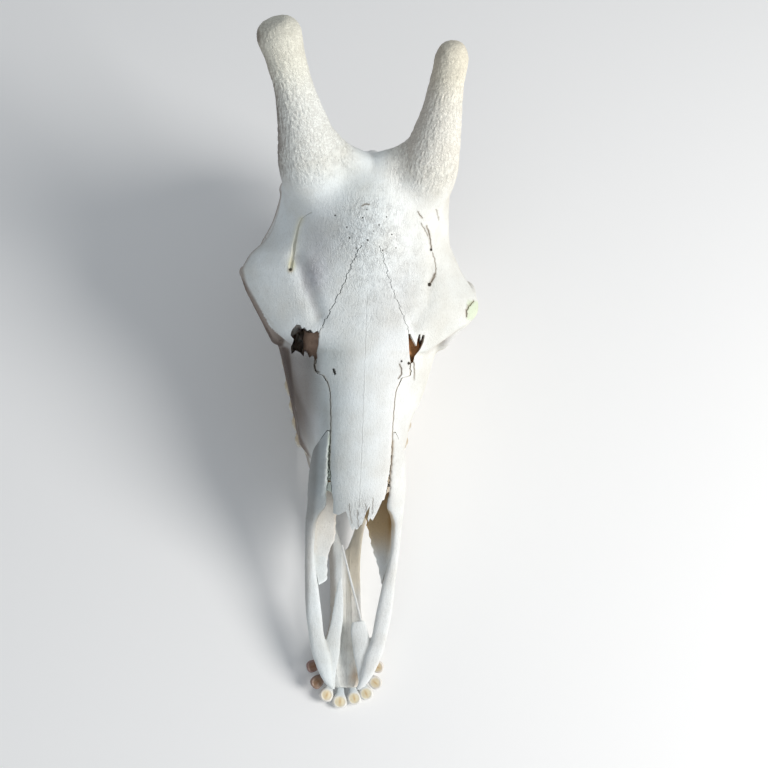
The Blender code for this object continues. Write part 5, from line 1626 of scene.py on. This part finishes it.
def tint_bone(obj, horn=0.0, bar=0.0):
    """Stains, painted shade and painted light of a bone of the upper skull, from where each of its
    points lies.

    horn is 1 for an ossicone, and bar is 1 for the premaxilla of the right.
    """
    points, normals = points_of(obj), normals_of(obj)
    feet, horns = horn_stains_and_shade(points, normals)
    feet = feet * (1 - horn)
    brush = spot(points, *BRUSHED)
    # Painted shade along the valley beside the boss on the right.
    crease_shade = on_line(points, VALLEY_RIGHT, 3.2) * (points[:, 2] > -30)
    layers = face_shade_and_stains(points, normals, bar) + horns
    layers += [((1.17, 1.15, 1.13), feet), ((0.80, 0.79, 0.81), 0.8 * crease_shade)]
    layers += inner_stains_and_shade(points, normals) + mark_stains_and_shade(points, brush)
    shades = stained(hollow_shade_edge_light(obj, np.ones((len(points), 3))), layers)
    worn = np.maximum(0.6 * brush, 0.55 * spot(points, *SPLINTERED))
    write_tint(obj, shades, np.maximum(roughness_of(points), worn) - 0.45 * feet)


def tint_jaw(obj):
    """Stains, painted shade and painted light of a bone of the lower jaw."""
    points, normals = points_of(obj), normals_of(obj)
    x, y = points.T[:2]
    # Painted light in the trough between the jaws, against the shade over it; the trough is also
    # made rough.
    trough = fade(-np.abs(x), -16, -9) * fade(-y, -100, -80) * fade(normals[:, 2], 0.2, 0.6)
    arm = fade(x, -1, 1) * fade(y, 72, 96) * fade(-y, -190, -160) * fade(normals[:, 2], -0.2, 0.3)
    # Painted shade on the faces of the right side that turn to the right.
    shaded_flank = fade(-normals[:, 0], 0.2, 0.8) * (x < -10)
    shades = np.ones((len(points), 3))
    # Less of the painted shade of hollows and painted highlight of edges in the trough.
    shades = shades + (hollow_shade_edge_light(obj, shades) - shades) * (1 - 0.8 * trough[:, None])
    # Cool painted shade on the right half, tan on the inner arm, painted light in the trough, brown
    # stains at the chin and painted shade on the right flank.
    shades = stained(shades, (((0.93, 0.97, 1.0), fade(-x, -2, 2)),
                              ((0.89, 0.82, 0.70), arm),
                              ((1.14, 1.13, 1.11), trough),
                              ((0.74, 0.57, 0.42), spot(points, (8, 3, -42), (6, 12, 14))),
                              ((0.50, 0.36, 0.26), spot(points, (0.5, 27, -42), (1.8, 8, 10))),
                              ((0.62, 0.53, 0.46), 0.8 * shaded_flank)))
    write_tint(obj, shades, np.maximum(0.12, 0.45 * trough))


def tint_teeth(obj, top, low):
    """Brown near the gum of the cheek teeth."""
    points = points_of(obj)
    up = points[:, 1] * math.sin(PALATE_SLOPE)
    up = up + (points[:, 2] + PALATE_DROP) * math.cos(PALATE_SLOPE)
    tall = abs(low - top)
    rooted = fade(np.abs(up - top), tall * 0.25, tall * 0.75)
    shades = np.ones((len(points), 3)) * CHEEK_TOOTH
    write_tint(obj, stained(shades, (((0.72, 0.60, 0.45), rooted),)))


def tint_incisors(obj, stain_and_shade):
    """White enamel round a tan hollow with a darker line, a bluish neck, and each tooth's
    darkening: a stain, and painted shade on the third and fourth of the right.
    """
    worn = np.empty(len(obj.data.vertices) * 3, np.float32)
    obj.data.attributes["worn"].data.foreach_get("vector", worn)
    hollow, line, neck = worn.reshape(-1, 3).astype(float).T
    shades = np.ones((len(hollow), 3)) * FRONT_TOOTH
    shades = stained(shades, (((0.96, 0.87, 0.66), hollow), ((0.84, 0.66, 0.44), line),
                              ((0.84, 0.92, 1.0), neck),
                              (stain_and_shade[1:], np.full(len(shades), stain_and_shade[0]))))
    obj.data.attributes.remove(obj.data.attributes["worn"])
    write_tint(obj, shades)


def place_piece(obj, name, made, node=None, slot=None):
    """Names a finished piece, lays it down, gives it its material and ties it to the solid part."""
    obj.name = name
    obj.data.name = name
    obj.data.materials.clear()
    obj.data.materials.append(made)
    lower = (slot or node).startswith("mandible")
    rest(obj, lower)
    if lower and node:
        cut(obj, floor_block())
        largest(obj)
    obj.data.shade_smooth()
    obj.data.set_sharp_from_angle(angle=SHARP_ANGLE)
    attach(obj, "root")
    if node:
        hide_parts(node)
    return obj


def floor_block():
    """Everything under the level of the floor."""
    return prism("under", square(FAR), "top", -FAR, 0)


def hole_cutters(body):
    """Short rods that open each small hole."""
    made = []
    for (x, y, radius), z in zip(HOLES, heights(body, HOLES)):
        knots = [(x, y, z + 6, radius), (x, y, z, radius), (x, y, z - HOLE_DEPTH, radius * 0.7)]
        made.append(tube("hole", knots, ROD_SIDES, steps=2))
    return made


def bone_of(body, node, region, made, tip=None, horn=0.0):
    """Makes one bone of the skull from what lies in its region."""
    bone = shared(copy_of(body, node + "_fine"), region)
    if tip:
        cut(bone, prism("tip", tip, "top", -NASAL_BLOCK, NASAL_BLOCK))
    largest(bone)
    tint_bone(bone, horn)
    place_piece(bone, node + "_bone", made, node)


def place_cheek_teeth(side, node, teeth, start, row, top, low):
    """The cheek teeth of one bone as one piece, from the bite to the ends of the roots."""
    pieces = cheek_teeth(side, teeth, start, row, top, low, low > top)
    crowns = joined("teeth", pieces)
    tint_teeth(crowns, top, low)
    place_piece(crowns, node + "_cheek_teeth", enamel, slot=node)


skull_bone = bone_material("bleached skull bone")
horn_bones = []
for foot, turn in HORNS:
    spin = Matrix.Rotation(REST_RISE, 3, "X") @ Matrix([list(row) for row in turn]).transposed()
    horn_bones.append(bone_material("rough ossicone bone", (0.97, 0.97, 0.94), (0.87, 0.86, 0.82),
                                    roughness=0.65, grain=(1.0, 1.0, 0.24), bump=0.45,
                                    turn=tuple(spin.to_euler()), even=0.85))
jaw_bone = bone_material("jaw bone", (0.90, 0.89, 0.86), (0.76, 0.73, 0.67),
                         grain=(1.0, 0.14, 1.0), bump=0.45, turn=(REST_RISE - PALATE_SLOPE, 0, 0))
enamel = tooth_material("worn teeth")
plate_tan = bone_material("inner bone right", (0.44, 0.30, 0.22), (0.22, 0.14, 0.10))
plate_amber = bone_material("inner bone left", (0.80, 0.40, 0.17), (0.62, 0.30, 0.12))

body = upper_skull()
refined(body, roughness_of(points_of(body)) > REFINED_OVER)
mark_skull(body)
carved(body)
cut(body, cavity())
outlines = GAP_RIGHT, GAP_LEFT
gaps = [prism("gap", outline, "top", -GAP_DEPTH, FAR) for outline in outlines]
cut(body, joined("gaps", gaps))
groove = groove_tube(body, GROOVE_RIGHT, GROOVE_SINK, 4)
rods = [groove_tube(body, crack, CRACK_SINK, 2) for crack in CRACK_LINES]
holes = hole_cutters(body)
openings = [jaw_condyle(side, GLENOID_GAP) for side in (1, -1)]
openings += [ball("opening", at_side(side, centre), size)
             for centre, size in (INFRAORBITAL, EAR_OPENING, OPTIC_OPENING) for side in (1, -1)]
# Cutters that are close to each other go in different groups.
for group in (openings, rods[0::3] + [groove], rods[1::3], rods[2::3], holes[0::2], holes[1::2]):
    cut(body, joined("cutters", group))

for side, node, tip in ((1, "nasal_left", TIP_LEFT), (-1, "nasal_right", TIP_RIGHT)):
    bone_of(body, node, nasal_region(side, 0), skull_bone, tip)
for side, recess in ((1, RECESS_LEFT), (-1, RECESS_RIGHT)):
    cut(body, nasal_region(side, SUTURE_GAP))
    cut(body, groove_tube(body, recess, RECESS_SINK, 4))
for side, node, blade in ((1, "premaxilla_left", BLADE_LEFT),
                          (-1, "premaxilla_right", BLADE_RIGHT)):
    pieces = [premaxilla_bar(side, 0), tube("blade", blade, sides=20, depth=BLADE_FLAT)]
    bone = fused(node + "_fine", pieces, BAR_VOXEL, BAR_PASSES)
    mark_plain(bone, BAR_ROUGH)
    carved(bone)
    largest(cut(bone, nasal_region(side, SUTURE_GAP)))
    tint_bone(bone, bar=float(side < 0))
    place_piece(bone, node + "_bone", skull_bone, node)
    cut(body, premaxilla_bar(side, 2 * SUTURE_GAP))

for horn, node, point, knots in ((1, "ossicone_left", OSSICONE_BASE_LEFT, OSSICONE_LEFT),
                                 (0, "ossicone_right", OSSICONE_BASE_RIGHT, OSSICONE_RIGHT)):
    bone_of(body, node, box_beyond("beyond", point, knots, 0), horn_bones[horn], horn=1.0)
    cut(body, box_beyond("beyond", point, knots, 0.5 * SUTURE_GAP))

inner, outer = ZYGOMATIC_X
for side, node in ((1, "zygomatic_left"), (-1, "zygomatic_right")):
    bone_of(body, node, side_prism("zygomatic", ZYGOMATIC, side, inner, outer), skull_bone)
    around = grown(ZYGOMATIC, SUTURE_GAP)
    cut(body, side_prism("zygomatic", around, side, inner - SUTURE_GAP, outer))

for side, node in ((1, "maxilla_left"), (-1, "maxilla_right")):
    bone_of(body, node, maxilla_region(side, 0), skull_bone)
    place_cheek_teeth(side, node, UPPER_TEETH, TOOTH_ROW_FROM, UPPER_ROW_X, BITE_Z,
                      BITE_Z + TOOTH_ROOT + UPPER_ROOT_MORE)
largest(cut(body, maxilla_region(0, SUTURE_GAP)))
thinned(body, CRANIUM_SHARE)
tint_bone(body)
place_piece(body, "cranium_bone", skull_bone, "cranium")

for side, node in ((1, "mandible_left"), (-1, "mandible_right")):
    bone = jaw(side)
    (across, along, up), size = MENTAL
    centre = (side * across, *from_palate(along, up))
    largest(cut(bone, ball("mental", centre, size)))
    tint_jaw(bone)
    place_piece(bone, node + "_bone", jaw_bone, node)
    top = BITE_Z - BITE_GAP
    place_cheek_teeth(side, node, LOWER_TEETH, TOOTH_ROW_FROM - LOWER_ROW_AHEAD, LOWER_ROW_X, top,
                      top - TOOTH_ROOT - LOWER_ROOT_MORE)
    row = [incisor(side, place) for place in (INCISORS_LEFT if side > 0 else INCISORS_RIGHT)]
    for tooth, stain_and_shade in zip(row, STAIN_LEFT if side > 0 else STAIN_AND_SHADE_RIGHT):
        tint_incisors(tooth, stain_and_shade)
    place_piece(joined("incisors", row), node + "_incisors", enamel, slot=node)

for side, name, line, made, node in (
        (1, "inner_plate_left", SCROLL_LEFT, plate_amber, "maxilla_left"),
        (-1, "inner_plate_right", SCROLL_RIGHT, plate_tan, "maxilla_right")):
    plate = shared(scroll(side, line), cavity())
    write_tint(plate)
    place_piece(plate, name, made, slot=node)
sliver = tube("sliver", SLIVER, sides=10, depth=SLIVER_FLAT)
write_tint(sliver)
place_piece(sliver, "septum_sliver", skull_bone, slot="premaxilla_left")

floor = prism("floor", square(FLOOR_REACH), "top", -FLOOR_THICK, 0)
floor.data.materials.append(new_material("pale floor", {"Base Color": (0.93, 0.93, 0.93, 1),
                                                        "Roughness": 0.9}))


def area_light(name, place, aim, size, power, colour):
    data = bpy.data.lights.new(name, "AREA")
    data.shape = "DISK"
    data.size = size
    data.energy = power
    data.color = colour
    lamp = bpy.data.objects.new(name, data)
    bpy.context.scene.collection.objects.link(lamp)
    lamp.location = place
    lamp.rotation_euler = (Vector(aim) - Vector(place)).to_track_quat("-Z", "Y").to_euler()


for lamp in LAMPS:
    area_light(*lamp)
world = bpy.data.worlds.new("soft room")
world.use_nodes = True
wired(world.node_tree, world.node_tree.nodes["Background"],
      {"Color": ROOM_COLOUR, "Strength": ROOM_LIGHT})
bpy.context.scene.world = world
bpy.context.scene.view_settings.view_transform = "Standard"


def aimed_camera():
    """The camera over the face, turned a little about its own line of sight."""
    at, aim = Vector(CAMERA_AT), Vector(CAMERA_AIM)
    back = (at - aim).normalized()
    up = Vector((0, 1, 0))
    up = (up - back * up.dot(back)).normalized()
    side = up.cross(back)
    up = up * math.cos(CAMERA_ROLL) - side * math.sin(CAMERA_ROLL)
    side = up.cross(back)
    placed = Matrix((side, up, back)).transposed().to_4x4()
    placed.translation = at * MM
    data = bpy.data.cameras.new("photo camera")
    data.sensor_width = CAMERA_SENSOR
    data.lens = CAMERA_LENS
    camera = bpy.data.objects.new("photo camera", data)
    bpy.context.scene.collection.objects.link(camera)
    camera.matrix_world = REST @ placed
    bpy.context.scene.camera = camera


aimed_camera()
